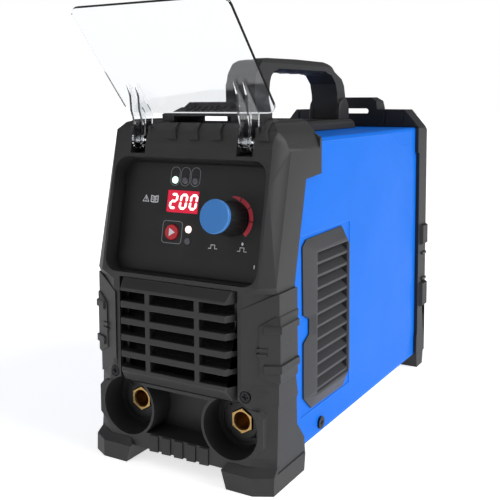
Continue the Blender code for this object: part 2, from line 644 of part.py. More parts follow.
# ---------------------------------------------------------------- controls
def control_panel(mat):
    """Flat plate on the recess floor, bored for the knob, the button and the lamps."""
    top = -RECESS_DEPTH
    body = face_prism(rounded(-62, 62, 2.6, FACE_LENGTH - 2.6, 9, 4), top - PANEL_THICK, top)
    cut(body, face_prism(circle(KNOB_X, KNOB_V, 4.0, 20), top - 6, top + 3))
    cut(body, face_prism(circle(BUTTON_X, BUTTON_V, 6.1, 24), top - 6, top + 3))
    for x, v in LAMPS.values():
        cut(body, face_prism(circle(x, v, LAMP_RADIUS + GAP, 16), top - 6, top + 3))
    w, h = DISPLAY_SIZE
    cut(body, face_prism([(DISPLAY_X - w / 2, DISPLAY_V - h / 2), (DISPLAY_X + w / 2, DISPLAY_V - h / 2),
                          (DISPLAY_X + w / 2, DISPLAY_V + h / 2), (DISPLAY_X - w / 2, DISPLAY_V + h / 2)],
                         top - 6, top + 3))
    return part(body, "control_panel", mat)


def display_module(mat):
    w, h = DISPLAY_SIZE
    top = -RECESS_DEPTH

    def rect(grow):
        return [(DISPLAY_X - w / 2 - grow, DISPLAY_V - h / 2 - grow), (DISPLAY_X + w / 2 + grow, DISPLAY_V - h / 2 - grow),
                (DISPLAY_X + w / 2 + grow, DISPLAY_V + h / 2 + grow), (DISPLAY_X - w / 2 - grow, DISPLAY_V + h / 2 + grow)]
    body = face_prism(rect(-GAP), top - 9.0, top - 1.6)
    fuse(body, face_prism(rect(0.9), top - 9.0, top - PANEL_THICK - GAP))
    return part(body, "display_module", mat)


def display_window(mat):
    w, h = DISPLAY_SIZE
    w, h = w / 2 - GAP, h / 2 - GAP
    top = -RECESS_DEPTH
    outline = [(DISPLAY_X - w, DISPLAY_V - h), (DISPLAY_X + w, DISPLAY_V - h), (DISPLAY_X + w, DISPLAY_V + h),
               (DISPLAY_X - w, DISPLAY_V + h)]
    return part(face_prism(outline, top - 1.3, top + 0.1), "display_window", mat)


def lamp(name, mat):
    x, v = LAMPS[name]
    top = -RECESS_DEPTH
    body = face_stack([(circle(x, v, LAMP_RADIUS, 16), top - 6.5), (circle(x, v, LAMP_RADIUS, 16), top + 0.2),
                       (circle(x, v, LAMP_RADIUS - 0.7, 16), top + 0.8)])
    return part(body, name, mat, smooth=True)


def mode_button(mat):
    """Sprung push button: cap through the plate, collar behind it."""
    top = -RECESS_DEPTH
    body = face_stack([(circle(BUTTON_X, BUTTON_V, 5.7, 24), top - 5.4), (circle(BUTTON_X, BUTTON_V, 5.7, 24), top + 0.9),
                       (circle(BUTTON_X, BUTTON_V, 5.2, 24), top + 1.3)])
    fuse(body, face_prism(circle(BUTTON_X, BUTTON_V, 7.0, 24), top - 5.4, top - PANEL_THICK - 0.4))
    fuse(body, face_prism(circle(BUTTON_X, BUTTON_V, 1.8, 12), top - 7.4, top - 5.0))
    return part(body, "mode_button", mat, True, on_face(BUTTON_X, BUTTON_V, top))


def encoder_body(mat):
    top = -RECESS_DEPTH
    square = [(KNOB_X - 6, KNOB_V - 6), (KNOB_X + 6, KNOB_V - 6), (KNOB_X + 6, KNOB_V + 6), (KNOB_X - 6, KNOB_V + 6)]
    body = face_prism(square, top - 9.4, top - 4.6)
    fuse(body, face_prism(circle(KNOB_X, KNOB_V, 3.5, 20), top - 5.2, top + 1.0))
    cut(body, face_prism(circle(KNOB_X, KNOB_V, 2.4, 20), top - 8.6, top + 2.0))
    return part(body, "encoder_body", mat)


def encoder_shaft(mat):
    """Push shaft: slides in the encoder and carries the knob."""
    top = -RECESS_DEPTH
    body = face_prism(circle(KNOB_X, KNOB_V, 2.0, 20), top - 7.4, top + 18.0)
    return part(body, "encoder_shaft", mat, True, on_face(KNOB_X, KNOB_V, top))


def knob_body(mat):
    """Black knob skirt, tapered, with a fluted wall and a bore for the shaft."""
    top = -RECESS_DEPTH
    def fluted(radius, depth):
        ring = []
        for k in range(48):
            angle = 2 * math.pi * k / 48
            r = radius - (depth if k % 4 == 0 else 0.0)
            ring.append((KNOB_X + r * math.cos(angle), KNOB_V + r * math.sin(angle)))
        return ring
    body = face_stack([(fluted(12.6, 0.0), top + 2.2), (fluted(12.6, 0.0), top + 3.6), (fluted(12.0, 0.5), top + 5.0),
                       (fluted(11.6, 0.5), top + 22.1)])
    cut(body, face_prism(circle(KNOB_X, KNOB_V, 2.3, 20), top, top + 18.5))
    cut(body, face_prism(circle(KNOB_X, KNOB_V, 5.2, 20), top, top + 3.6))
    return part(body, "knob_body", mat, False, on_face(KNOB_X, KNOB_V, top))


def knob_cap(mat):
    top = -RECESS_DEPTH
    body = face_stack([(circle(KNOB_X, KNOB_V, 11.7, 40), top + 22.4), (circle(KNOB_X, KNOB_V, 11.9, 40), top + 24.7),
                       (circle(KNOB_X, KNOB_V, 11.3, 40), top + 25.5)])
    return part(body, "knob_cap", mat, False, on_face(KNOB_X, KNOB_V, top))


def control_board(mat):
    top = -RECESS_DEPTH
    body = face_prism([(-48, 8), (48, 8), (48, FACE_LENGTH - 8), (-48, FACE_LENGTH - 8)], top - 11.4, top - 9.8)
    return part(body, "control_board", mat)


# ---------------------------------------------------------------- shield
def shield(mat):
    """Clear hinged lid: plate, four gussets and two knuckles."""
    low, high = Vector(SHIELD_LOW), Vector(SHIELD_HIGH)
    along = (high - low).normalized()
    normal = Vector((-along.y, along.x))
    if normal.x > 0:
        normal = -normal
    length = (high - low).length

    def sheet_point(x, s, t):
        p = low + along * s + normal * t
        return place(x, p.x, p.y)
    outline = rounded(-SHIELD_HALF, SHIELD_HALF, 0, length, 7.0, 4)
    half = SHIELD_THICK / 2
    body = hull_between([sheet_point(x, s, -half) for x, s in outline], [sheet_point(x, s, half) for x, s in outline])
    pivot = Vector((PIVOT_Y, PIVOT_Z))
    reach = []
    for s, t in ((1.0, 0.3), (33.0, 0.3), (20.0, 5.0), (12.0, 11.0)):
        p = low + along * s + normal * t
        reach.append((p.x, p.y))
    reach.append((25.4, 249.0))
    for angle in (160, 200, 240, 280, 320, 0):
        a = math.radians(angle)
        reach.append((pivot.x + KNUCKLE_RADIUS * math.cos(a), pivot.y + KNUCKLE_RADIUS * math.sin(a)))
    reach.append((36.2, 247.5))
    for side in (1, -1):
        for edge in (-KNUCKLE_HALF, KNUCKLE_HALF - 1.8):
            x0 = side * PIVOT_X + edge
            fuse(body, prism("X", reach, x0, x0 + 1.8))
        barrel = rod("X", (PIVOT_Y, PIVOT_Z), 3.8, side * PIVOT_X - KNUCKLE_HALF + 0.5,
                     side * PIVOT_X + KNUCKLE_HALF - 0.5, 20)
        fuse(body, barrel)
        cut(body, rod("X", (PIVOT_Y, PIVOT_Z), PIN_RADIUS + 0.35, side * PIVOT_X - 8, side * PIVOT_X + 8, 20))
    return part(body, "shield", mat, False, place(0, PIVOT_Y, PIVOT_Z))


def shield_pin(side, name, mat):
    reach = NOTCH_HALF + 1.5
    body = rod("X", (PIVOT_Y, PIVOT_Z), PIN_RADIUS, side * PIVOT_X - reach, side * PIVOT_X + reach, 16)
    return part(body, name, mat, True)


# ---------------------------------------------------------------- sockets
def socket_body(side, name, mat):
    x = side * SOCKET_X
    body = rod("Y", (x, SOCKET_Z), SOCKET_FLANGE, WELL_FLOOR - 3.4, WELL_FLOOR - GAP, 32)
    fuse(body, rod("Y", (x, SOCKET_Z), SOCKET_BARREL, WELL_FLOOR - 1, 46, 24))
    cut(body, rod("Y", (x, SOCKET_Z), 15.8, WELL_FLOOR - 5, WELL_FLOOR - 2.6, 28))
    fuse(body, rod("Y", (x, SOCKET_Z), 12.8, WELL_FLOOR - 3.4, WELL_FLOOR - 1.5, 24))
    cut(body, rod("Y", (x, SOCKET_Z), 9.5, 10, 60, 6, math.pi / 6))
    for k in range(4):
        angle = math.radians(45 + 90 * k)
        cut(body, rod("Y", (x + 14.2 * math.cos(angle), SOCKET_Z + 14.2 * math.sin(angle)), 1.0, 10, WELL_FLOOR - 1.6, 8))
    return part(body, name, mat)


def socket_contact(side, name, mat):
    """Brass hexagon contact with a chamfered bore."""
    x = side * SOCKET_X
    body = rod("Y", (x, SOCKET_Z), 9.0, SOCKET_FACE, 48.0, 6, math.pi / 6)
    cut(body, rod("Y", (x, SOCKET_Z), 6.0, SOCKET_FACE - 2, 42.0, 24))
    cone = stack([[place(px, SOCKET_FACE - 0.2, pz) for px, pz in circle(x, SOCKET_Z, 6.9, 24)],
                  [place(px, SOCKET_FACE + 1.3, pz) for px, pz in circle(x, SOCKET_Z, 5.8, 24)]])
    cut(body, cone)
    fuse(body, rod("Y", (x, SOCKET_Z), 4.0, 47.0, 58.0, 16))
    return part(body, name, mat)


def bus_bar(side, name, mat):
    x = side * SOCKET_X
    body = box((x - 8, x + 8), (51.0, 53.0), (SOCKET_Z - 8, 92.0))
    fuse(body, box((x - 8, x + 8), (51.0, 78.0), (90.0, 92.0)))
    cut(body, rod("Y", (x, SOCKET_Z), 4.3, 45, 60, 16))
    return part(body, name, mat)


def bar_nut(side, name, mat):
    x = side * SOCKET_X
    body = rod("Y", (x, SOCKET_Z), 7.0, 53.3, 57.0, 6)
    cut(body, rod("Y", (x, SOCKET_Z), 4.3, 50, 60, 16))
    return part(body, name, mat)


# ---------------------------------------------------------------- rear panel fittings
def rear_panel(mat):
    body = prism("Y", rounded(-68, 68, 17, 234, 4, 2), 322.9, 324.5)
    cut(body, rod("Y", (FAN_X, FAN_Z), FAN_RADIUS + 1, 315, 330, 36))
    cut(body, box((24.5, 51.5), (315, 330), (48.5, 70.5)))
    cut(body, rod("Y", (-36, 58), 10.2, 315, 330, 24))
    return part(body, "rear_panel", mat)


def fan_guard(mat):
    """Moulded finger guard: rings joined by four spokes."""
    ring_y = (325.0, 328.0)
    body = rod("Y", (FAN_X, FAN_Z), 49.0, ring_y[0], ring_y[1], 28)
    for outer, inner in ((44.0, 36.5), (34.2, 26.7), (24.4, 16.9)):
        gap = rod("Y", (FAN_X, FAN_Z), outer, 320, 335, 28)
        cut(gap, rod("Y", (FAN_X, FAN_Z), inner, 318, 337, 28))
        for turn in (45, 135):
            a = math.radians(turn)
            u = Vector((math.cos(a), math.sin(a)))
            w = Vector((-u.y, u.x)) * 1.5
            bar = [(u * 60 + w), (u * -60 + w), (u * -60 - w), (u * 60 - w)]
            cut(gap, prism("Y", [(FAN_X + p.x, FAN_Z + p.y) for p in bar], 317, 338))
        cut(body, gap)
    return part(body, "fan_guard", mat)


def fan_frame(mat):
    body = box((-46, 46), (295.0, 320.0), (FAN_Z - 46, FAN_Z + 46))
    cut(body, rod("Y", (FAN_X, FAN_Z), FAN_RADIUS, 290, 325, 40))
    for turn in (0, 90):
        a = math.radians(turn)
        u = Vector((math.cos(a), math.sin(a)))
        w = Vector((-u.y, u.x)) * 2.0
        bar = [(u * 45 + w), (u * -45 + w), (u * -45 - w), (u * 45 - w)]
        fuse(body, prism("Y", [(FAN_X + p.x, FAN_Z + p.y) for p in bar], 295.0, 297.5))
    fuse(body, rod("Y", (FAN_X, FAN_Z), 15.0, 295.0, 298.4, 24))
    return part(body, "fan_frame", mat)


def fan_rotor(mat):
    """Hub with seven twisted blades."""
    body = rod("Y", (FAN_X, FAN_Z), 15.0, 299.4, 317.0, 28)
    for k in range(7):
        a = 2 * math.pi * k / 7
        u = Vector((math.cos(a), math.sin(a)))
        w = Vector((-u.y, u.x))
        def spot(radius, swing, y):
            p = u * radius + w * swing
            return place(FAN_X + p.x, y, FAN_Z + p.y)
        low = [spot(13.5, -4.5, 301.0), spot(13.5, 4.5, 314.0), spot(13.5, 5.7, 313.0), spot(13.5, -3.3, 300.4)]
        high = [spot(40.5, -9.0, 302.5), spot(40.5, 9.0, 313.5), spot(40.5, 10.2, 312.6), spot(40.5, -7.8, 301.6)]
        fuse(body, hull_between(low, high))
    return part(body, "fan_rotor", mat, False, place(FAN_X, 308, FAN_Z))


def switch_body(mat):
    body = box((22.0, 54.0), (325.0, 328.5), (46.0, 73.0))
    fuse(body, box((25.0, 51.0), (304.0, 326.0), (49.0, 70.0)))
    cut(body, box((28.0, 48.0), (312.0, 335.0), (50.8, 68.2)))
    return part(body, "switch_body", mat)


def switch_rocker(mat):
    """Rocker on a cross pin, standing proud on its off side."""
    outline = [(316.0, 57.0), (316.0, 62.0), (325.6, 65.8), (330.8, 65.8), (328.4, 59.5), (328.6, 53.2), (325.6, 53.2)]
    body = prism("X", outline, 28.5, 47.5)
    return part(body, "switch_rocker", mat, False, place(38.0, 320.0, 59.5))


def cable_gland(mat):
    body = rod("Y", (-36, 58), 13.0, 325.0, 331.0, 6)
    fuse(body, rod("Y", (-36, 58), 11.2, 330.0, 338.0 - 2.5, 28))
    fuse(body, rod("Y", (-36, 58), 9.8, 312.0, 326.0, 24))
    cut(body, rod("Y", (-36, 58), 5.4, 300, 345, 24))
    return part(body, "cable_gland", mat)


def gland_nut(mat):
    body = rod("Y", (-36, 58), 13.0, 317.0, 322.6, 6)
    cut(body, rod("Y", (-36, 58), 10.1, 310, 330, 24))
    return part(body, "gland_nut", mat)


# ---------------------------------------------------------------- electronics
def main_board(mat):
    body = box((-62, 62), (96, 276), (24.0, 25.6))
    return part(body, "main_board", mat)


def heat_sink(side, name, mat):
    body = box((-4 + side * 46, 4 + side * 46), (150, 262), (30.0, 100.0))
    for k in range(7):
        z = 34 + 9.6 * k
        x = sorted((side * 48, side * 64))
        fuse(body, box(x, (150, 262), (z, z + 2.2)))
    return part(body, name, mat)


def transformer_core(mat):
    body = box((-24, 24), (158, 206), (26.0, 82.0))
    cut(body, box((-16, 16), (150, 210), (36.0, 72.0)))
    fuse(body, box((-7, 7), (160, 204), (30.0, 80.0)))
    return part(body, "transformer_core", mat)


def transformer_winding(mat):
    body = prism("Z", rounded(-15.4, 15.4, 150, 214, 8, 3), 37.0, 71.0)
    cut(body, box((-8.0, 8.0), (159.0, 205.0), (30, 80)))
    cut(body, box((-40, 40), (157.7, 159.4), (20, 30)))
    return part(body, "transformer_winding", mat)


def choke(mat):
    body = rod("Z", (0, 124), 24.0, 26.0, 46.0, 32)
    cut(body, rod("Z", (0, 124), 11.0, 20, 60, 24))
    return part(body, "choke", mat)


def capacitor(name, x, mat):
    body = stack([[place(px, py, z) for px, py in circle(x, 240, r, 24)] for r, z in
                  ((12.5, 26.0), (12.5, 68.0), (11.6, 69.4))])
    return part(body, name, mat, True)


def build():
    for old in list(bpy.data.objects):
        bpy.data.objects.remove(old)
    abs_black = material("frame_plastic", (0.045, 0.046, 0.048), 0.55)
    grille_black = material("grille_plastic", (0.040, 0.041, 0.043), 0.5)
    blue = material("cover_paint", (0.02, 0.16, 0.80), 0.22)
    vent_grey = material("vent_plastic", (0.10, 0.10, 0.12), 0.5)
    handle_grey = material("handle_plastic", (0.075, 0.075, 0.078), 0.55)
    saddle_grey = material("saddle_plastic", (0.065, 0.065, 0.067), 0.55)
    panel_black = material("panel_film", (0.03, 0.03, 0.032), 0.4)
    red = material("display_red", (0.55, 0.03, 0.06), 0.3)
    window = material("window_red", (0.6, 0.05, 0.08), 0.1)
    button_red = material("button_red", (0.65, 0.04, 0.05), 0.35)
    lamp_grey = material("lamp_lens", (0.25, 0.25, 0.27), 0.3)
    knob_black = material("knob_rubber", (0.02, 0.02, 0.022), 0.5)
    cap_blue = material("knob_blue", (0.05, 0.20, 0.55), 0.35)
    clear = material("clear_plastic", (0.92, 0.93, 0.94), 0.05)
    steel = material("bright_steel", (0.60, 0.60, 0.62), 0.3, 1.0)
    zinc = material("zinc_sheet", (0.55, 0.56, 0.58), 0.4, 1.0)
    dark_steel = material("panel_paint", (0.05, 0.05, 0.055), 0.45)
    socket_black = material("socket_plastic", (0.025, 0.025, 0.028), 0.45)
    brass = material("brass", (0.78, 0.57, 0.26), 0.25, 1.0)
    copper = material("copper_bar", (0.80, 0.42, 0.28), 0.3, 1.0)
    fan_black = material("fan_plastic", (0.03, 0.03, 0.032), 0.5)
    board_green = material("board_laminate", (0.03, 0.18, 0.07), 0.4)
    alu = material("sink_aluminium", (0.75, 0.76, 0.78), 0.35, 1.0)
    ferrite = material("ferrite", (0.08, 0.08, 0.085), 0.6)
    winding = material("winding_tape", (0.70, 0.52, 0.12), 0.5)
    can = material("capacitor_sleeve", (0.04, 0.05, 0.12), 0.35)
    foam = material("filter_foam", (0.012, 0.012, 0.013), 0.9)

    front_frame(abs_black)
    front_grille(grille_black)
    dust_filter(foam)
    for side, word in ((1, "right"), (-1, "left")):
        head_screw("grille_screw_" + word, steel, "Y", -1, (side * 56.4, 66.2), 6.9, 3.8, 2.2, 1.6, 11.0)
        head_screw("cover_screw_" + word, steel, "X", side, (89.9, 21.6), side * (COVER_X + 0.1), 4.7, 2.4, 2.0, 6.0)
        side_vent(side, "side_vent_" + word, vent_grey)
        shield_pin(side, "shield_pin_" + word, steel)
    for side, word in ((1, "positive"), (-1, "negative")):
        socket_body(side, "socket_body_" + word, socket_black)
        socket_contact(side, "socket_contact_" + word, brass)
        bus_bar(side, "bus_bar_" + word, copper)
        bar_nut(side, "bar_nut_" + word, steel)
    rear_frame(abs_black)
    bent_cover(blue)
    base_pan(zinc)
    handle_saddle(saddle_grey)
    handle(handle_grey)
    handle_screw("handle_screw_front", 112, steel)
    handle_screw("handle_screw_rear", 262, steel)
    control_panel(panel_black)
    display_module(red)
    display_window(window)
    for name in LAMPS:
        lamp(name, lamp_grey)
    mode_button(button_red)
    encoder_body(zinc)
    encoder_shaft(steel)
    knob_body(knob_black)
    knob_cap(cap_blue)
    control_board(board_green)
    shield(clear)
    rear_panel(dark_steel)
    fan_guard(fan_black)
    fan_frame(fan_black)
    fan_rotor(fan_black)
    switch_body(socket_black)
    switch_rocker(knob_black)
    cable_gland(socket_black)
    gland_nut(socket_black)
    main_board(board_green)
    heat_sink(1, "heat_sink_right", alu)
    heat_sink(-1, "heat_sink_left", alu)
    transformer_core(ferrite)
    transformer_winding(winding)
    choke(winding)
    capacitor("capacitor_a", -14, can)
    capacitor("capacitor_b", 14, can)


build()
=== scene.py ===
# %% [markdown]
# # A stick welding inverter, finished for rendering
# A welding inverter is a power source in a bent steel cover, held between two moulded end frames. The
# engineering model already fixes every size and every joint, so this lesson only gives it its looks. It
# could be modelled again from nothing, but then each piece would have to be fitted back on its joint.
# Loading the finished frame first means that a new piece is always worked out from the piece it stands on.

# %% Load the frame
import json
import math

import bmesh
import bpy
from mathutils import Matrix, Vector


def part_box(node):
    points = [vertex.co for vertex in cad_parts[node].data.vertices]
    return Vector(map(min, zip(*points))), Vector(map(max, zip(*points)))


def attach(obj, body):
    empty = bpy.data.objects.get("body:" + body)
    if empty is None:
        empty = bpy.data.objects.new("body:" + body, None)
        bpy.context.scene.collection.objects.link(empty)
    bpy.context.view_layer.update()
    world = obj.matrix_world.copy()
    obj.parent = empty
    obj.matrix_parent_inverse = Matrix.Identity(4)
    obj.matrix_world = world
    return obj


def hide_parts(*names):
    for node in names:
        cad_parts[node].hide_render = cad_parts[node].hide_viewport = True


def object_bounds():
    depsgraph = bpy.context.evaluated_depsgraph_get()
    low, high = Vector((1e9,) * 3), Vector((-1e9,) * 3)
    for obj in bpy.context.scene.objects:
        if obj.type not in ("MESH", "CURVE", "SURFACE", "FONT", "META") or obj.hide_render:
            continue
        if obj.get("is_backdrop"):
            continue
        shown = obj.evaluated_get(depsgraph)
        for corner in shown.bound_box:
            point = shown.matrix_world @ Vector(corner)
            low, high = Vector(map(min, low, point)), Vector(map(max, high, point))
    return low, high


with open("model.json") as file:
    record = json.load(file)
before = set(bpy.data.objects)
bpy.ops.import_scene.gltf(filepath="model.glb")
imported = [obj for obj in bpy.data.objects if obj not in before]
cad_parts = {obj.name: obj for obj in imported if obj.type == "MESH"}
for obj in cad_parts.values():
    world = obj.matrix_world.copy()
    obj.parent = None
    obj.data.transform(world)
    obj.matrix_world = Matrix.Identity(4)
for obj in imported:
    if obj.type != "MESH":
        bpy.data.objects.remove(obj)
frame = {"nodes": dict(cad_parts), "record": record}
cad_low, cad_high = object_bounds()
nodes = frame["nodes"]
MM = 0.001
size_mm = [round((b - a) / MM, 1) for a, b in zip(cad_low, cad_high)]
print("pieces in the frame:", len(nodes), "overall size in mm:", size_mm)

# %% [markdown]
# # The camera
# The view is from a little above the control face, turned so that one long side shows. The lens is a short
# telephoto, which keeps upright edges nearly parallel. Tilting the camera down would make the uprights lean,
# so most of the framing is done with vertical shift, as on a view camera.

# %% Camera
CAMERA_PLACE = Vector((0.3285, -0.6072, 0.2681))
TURN, TILT, ROLL = math.radians(30.26), math.radians(5.41), math.radians(-0.32)
LENS_MM = 58.34
LENS_SHIFT = -0.15

view_dir = Vector((-math.sin(TURN) * math.cos(TILT), math.cos(TURN) * math.cos(TILT), -math.sin(TILT)))
level_right = view_dir.cross(Vector((0, 0, 1))).normalized()
level_up = level_right.cross(view_dir)
right = level_right * math.cos(ROLL) + level_up * math.sin(ROLL)
up = level_up * math.cos(ROLL) - level_right * math.sin(ROLL)

lens = bpy.data.cameras.new("camera")
lens.lens = LENS_MM
lens.shift_y = LENS_SHIFT
lens.clip_start = 0.01
camera = bpy.data.objects.new("camera", lens)
aim = Matrix((right, up, -view_dir)).transposed().to_4x4()
camera.matrix_world = Matrix.Translation(CAMERA_PLACE) @ aim
bpy.context.scene.collection.objects.link(camera)
bpy.context.scene.camera = camera
middle = (cad_low + cad_high) / 2
print("camera stands", round((CAMERA_PLACE - middle).length, 3), "m from the middle of the machine")

# %% [markdown]
# # Colours and nodes
# Colours are written as the hex values that a paint chart gives, and one function turns them into the
# linear values that the renderer works in. Typing linear numbers would save the function, but nobody can
# read a colour from them. A second function adds one node with its settings, inputs and links, so that a
# material reads as a list of what it is made of. Pattern sizes are real sizes in millimetres.

# %% Helpers for materials
def linear(hex_colour):
    """The linear RGBA of an sRGB hex colour."""
    parts = [int(hex_colour[i:i + 2], 16) / 255 for i in (1, 3, 5)]
    return (*[c / 12.92 if c <= 0.04045 else ((c + 0.055) / 1.055) ** 2.4 for c in parts], 1.0)


def shade(hex_colour, factor):
    """The same colour, made darker by a factor."""
    return (*[factor * c for c in linear(hex_colour)[:3]], 1.0)


def add(tree, kind, values=None, links=None, **settings):
    """One node: settings are its own properties, values its unlinked inputs, links its inputs' sources."""
    made = tree.nodes.new("ShaderNode" + kind)
    for key, value in settings.items():
        setattr(made, key, value)
    for key, value in (values or {}).items():
        made.inputs[key].default_value = value
    for key, source in (links or {}).items():
        tree.links.new(source, made.inputs[key])
    return made


def per_size(millimetres):
    """The scale that gives a pattern features of this size."""
    return 1.0 / (millimetres * MM)


def new_finish(name):
    """An empty material with its shader, and the object's own coordinates to hang patterns on."""
    finish = bpy.data.materials.new(name)
    finish.use_nodes = True
    tree = finish.node_tree
    return finish, tree, tree.nodes["Principled BSDF"], add(tree, "TexCoord").outputs["Object"]


def join(tree, shader, colour=None, roughness=None, normal=None):
    """Links worked-out values to the shader's sockets."""
    for socket, source in (("Base Color", colour), ("Roughness", roughness), ("Normal", normal)):
        if source is not None:
            tree.links.new(source, shader.inputs[socket])


# Inputs of a colour Mix node by their place, because their names repeat: factor, first and second colour.
FACTOR, FIRST, SECOND, MIXED = 0, 6, 7, 2
print("a 1 mm pattern has scale", per_size(1.0))

# %% [markdown]
# # Moulded plastic
# The end frames, the handle, the grille and the vents are ABS and polyamide, injection moulded in a tool
# whose walls were spark eroded. That leaves a fine, even grain that breaks up the reflection. Edges that
# hands and bench tops rub go slightly paler. The grain could be real displacement, but at a twentieth of a
# millimetre a bump is enough, while the rub follows an attribute that the rounded edges carry. Real spark
# grain is about 0.2 mm wide, which would not show, so it is drawn several times coarser.

# %% Moulded plastic
DRIFT_MM = 38.0


def moulded(name, body_hex, rubbed_hex, roughness, grain_mm, grain_depth_mm, rub=0.35, gloss=0.35):
    """Spark-eroded moulded plastic: grain in the bump, slow shifts of tone, rubbed edges."""
    finish, tree, shader, spot = new_finish(name)
    grain = add(tree, "TexNoise", {"Scale": per_size(grain_mm), "Detail": 2.0, "Roughness": 0.6},
                {"Vector": spot})
    drift = add(tree, "TexNoise", {"Scale": per_size(DRIFT_MM), "Detail": 3.0, "Roughness": 0.55},
                {"Vector": spot})
    darker = add(tree, "Mix", {FIRST: linear(body_hex), SECOND: shade(body_hex, 0.8)},
                 {FACTOR: drift.outputs["Fac"]}, data_type="RGBA")
    edge = add(tree, "Attribute", attribute_name="edge_wear")
    scuff = add(tree, "MapRange", {"From Min": 0.35, "From Max": 0.75, "To Min": 0.0, "To Max": rub},
                {"Value": drift.outputs["Fac"]})
    worn = add(tree, "Math", links={0: edge.outputs["Fac"], 1: scuff.outputs["Result"]},
               operation="MULTIPLY")
    tone = add(tree, "Mix", {SECOND: linear(rubbed_hex)},
               {FACTOR: worn.outputs[0], FIRST: darker.outputs[MIXED]}, data_type="RGBA")
    sheen = add(tree, "MapRange", {"From Min": 0.3, "From Max": 0.7, "To Min": roughness - 0.05,
                                   "To Max": roughness + 0.07}, {"Value": grain.outputs["Fac"]})
    bump = add(tree, "Bump", {"Strength": 1.0, "Distance": grain_depth_mm * MM},
               {"Height": grain.outputs["Fac"]})
    join(tree, shader, tone.outputs[MIXED], sheen.outputs["Result"], bump.outputs["Normal"])
    shader.inputs["IOR"].default_value = 1.53
    shader.inputs["Specular IOR Level"].default_value = gloss
    return finish


# %% [markdown]
# # The machine's plastics
# One function serves them all, because they differ only in pigment, grain and polish. The frames are
# charcoal ABS with a broad, soft sheen; the rear frame is drawn darker than the front, which is painted
# shade.
# The grip is polyamide with a coarser grain for the hand. The knob is soft-touch rubber, and its cap and the
# red button are polished ABS, so they get the sharpest highlight.
# The foam behind the grille is open-celled and nearly black, partly its own colour and partly painted shade
# for the dark inside, which hides what is behind it.

# %% Plastics by name
frame_abs = moulded("black_abs_frame", "#2d2d2d", "#626264", 0.5, 0.9, 0.05)
# the rear frame is the same black ABS as the front frame, drawn darker: painted shade
rear_abs_painted_shade = moulded("black_abs_rear_frame_painted_shade", "#1e1e20", "#4c4c50", 0.5, 0.9, 0.05)
grille_abs = moulded("black_abs_grille", "#262626", "#58585c", 0.48, 0.9, 0.05)
vent_abs = moulded("graphite_abs_vent", "#3b3b3e", "#7c7c82", 0.48, 0.9, 0.05)
# nearly black foam: partly the foam's own colour, partly painted shade for the dark inside of the machine
filter_foam_painted_shade = moulded("black_filter_foam", "#0d0d0e", "#151516", 0.9, 1.6, 0.4, rub=0.0)
handle_pa = moulded("black_polyamide_grip", "#282828", "#606060", 0.5, 1.1, 0.07)
saddle_pa = moulded("black_polyamide_saddle", "#272728", "#585858", 0.5, 1.1, 0.06)
socket_pa = moulded("black_polyamide_socket", "#121213", "#3c3c40", 0.38, 0.7, 0.02)
fan_pbt = moulded("black_pbt_fan", "#222224", "#5a5a5c", 0.42, 0.8, 0.02)
knob_rubber = moulded("black_soft_touch_knob", "#19191a", "#3c3c3e", 0.55, 0.5, 0.02)
cap_abs = moulded("blue_abs_knob_cap", "#3d82cc", "#7db4ea", 0.34, 0.6, 0.008, rub=0.9, gloss=0.5)
button_abs = moulded("red_abs_button", "#c8303a", "#ee7a7c", 0.33, 0.6, 0.008, rub=0.8, gloss=0.5)
print("moulded finishes:", len(bpy.data.materials))

# %% [markdown]
# # Powder coat
# The steel cover is sprayed with a dry polyester powder and baked. As the powder flows it leaves a faint
# orange peel, a wave of a few millimetres. This cover has the satin kind, so its colour stays full and even
# where a glossy enamel would mirror the floor, and the clear layer on top is kept very thin. The rear panel
# has a rougher coat in black with a little more shine. Where the coat is thin, on edges, it turns paler.

# %% Powder coat
PEEL_MM = 2.4
MOTTLE_MM = 60.0
THIN_AT_EDGE = 0.25


def powder_coat(name, body_hex, edge_hex, peel_depth_mm, coat, gloss, roughness=0.45):
    """Baked polyester powder: orange peel, fine tint mottle and a thin clear skin."""
    finish, tree, shader, spot = new_finish(name)
    peel = add(tree, "TexNoise", {"Scale": per_size(PEEL_MM), "Detail": 1.0}, {"Vector": spot})
    mottle = add(tree, "TexNoise", {"Scale": per_size(MOTTLE_MM), "Detail": 4.0, "Roughness": 0.6},
                 {"Vector": spot})
    tint = add(tree, "Mix", {FIRST: linear(body_hex), SECOND: shade(body_hex, 0.86)},
               {FACTOR: mottle.outputs["Fac"]}, data_type="RGBA")
    edge = add(tree, "Attribute", attribute_name="edge_wear")
    thin = add(tree, "Math", {1: THIN_AT_EDGE}, {0: edge.outputs["Fac"]}, operation="MULTIPLY")
    colour = add(tree, "Mix", {SECOND: linear(edge_hex)},
                 {FACTOR: thin.outputs[0], FIRST: tint.outputs[MIXED]}, data_type="RGBA")
    haze = add(tree, "MapRange", {"From Min": 0.3, "From Max": 0.7, "To Min": roughness - 0.04,
                                  "To Max": roughness + 0.05}, {"Value": mottle.outputs["Fac"]})
    bump = add(tree, "Bump", {"Strength": 1.0, "Distance": peel_depth_mm * MM},
               {"Height": peel.outputs["Fac"]})
    join(tree, shader, colour.outputs[MIXED], haze.outputs["Result"], bump.outputs["Normal"])
    tree.links.new(bump.outputs["Normal"], shader.inputs["Coat Normal"])
    shader.inputs["Coat Weight"].default_value = coat
    shader.inputs["Coat Roughness"].default_value = 0.07
    shader.inputs["Specular IOR Level"].default_value = gloss
    return finish


cover_paint = powder_coat("blue_powder_coat", "#0f71e1", "#5f9dfb", 0.012, coat=0.02, gloss=0.08)
panel_paint = powder_coat("black_powder_coat", "#232326", "#606064", 0.02, coat=0.2, gloss=0.5)
print("orange peel has scale", round(per_size(PEEL_MM)))

# %% [markdown]
# # Turned brass
# The socket contacts are turned on a lathe, so their faces show fine rings about the socket's axis. A wave
# texture in rings, centred on each contact, follows the tool. A real feed mark is about a tenth of a
# millimetre wide and would not show, so the rings are drawn wider. Handling leaves darker, tarnished patches.

# %% Turned metal
RING_MM = 0.35
TARNISH_MM = 6.0
WAVE_TURN = 6.283           # a wave texture repeats once in this length at scale 1


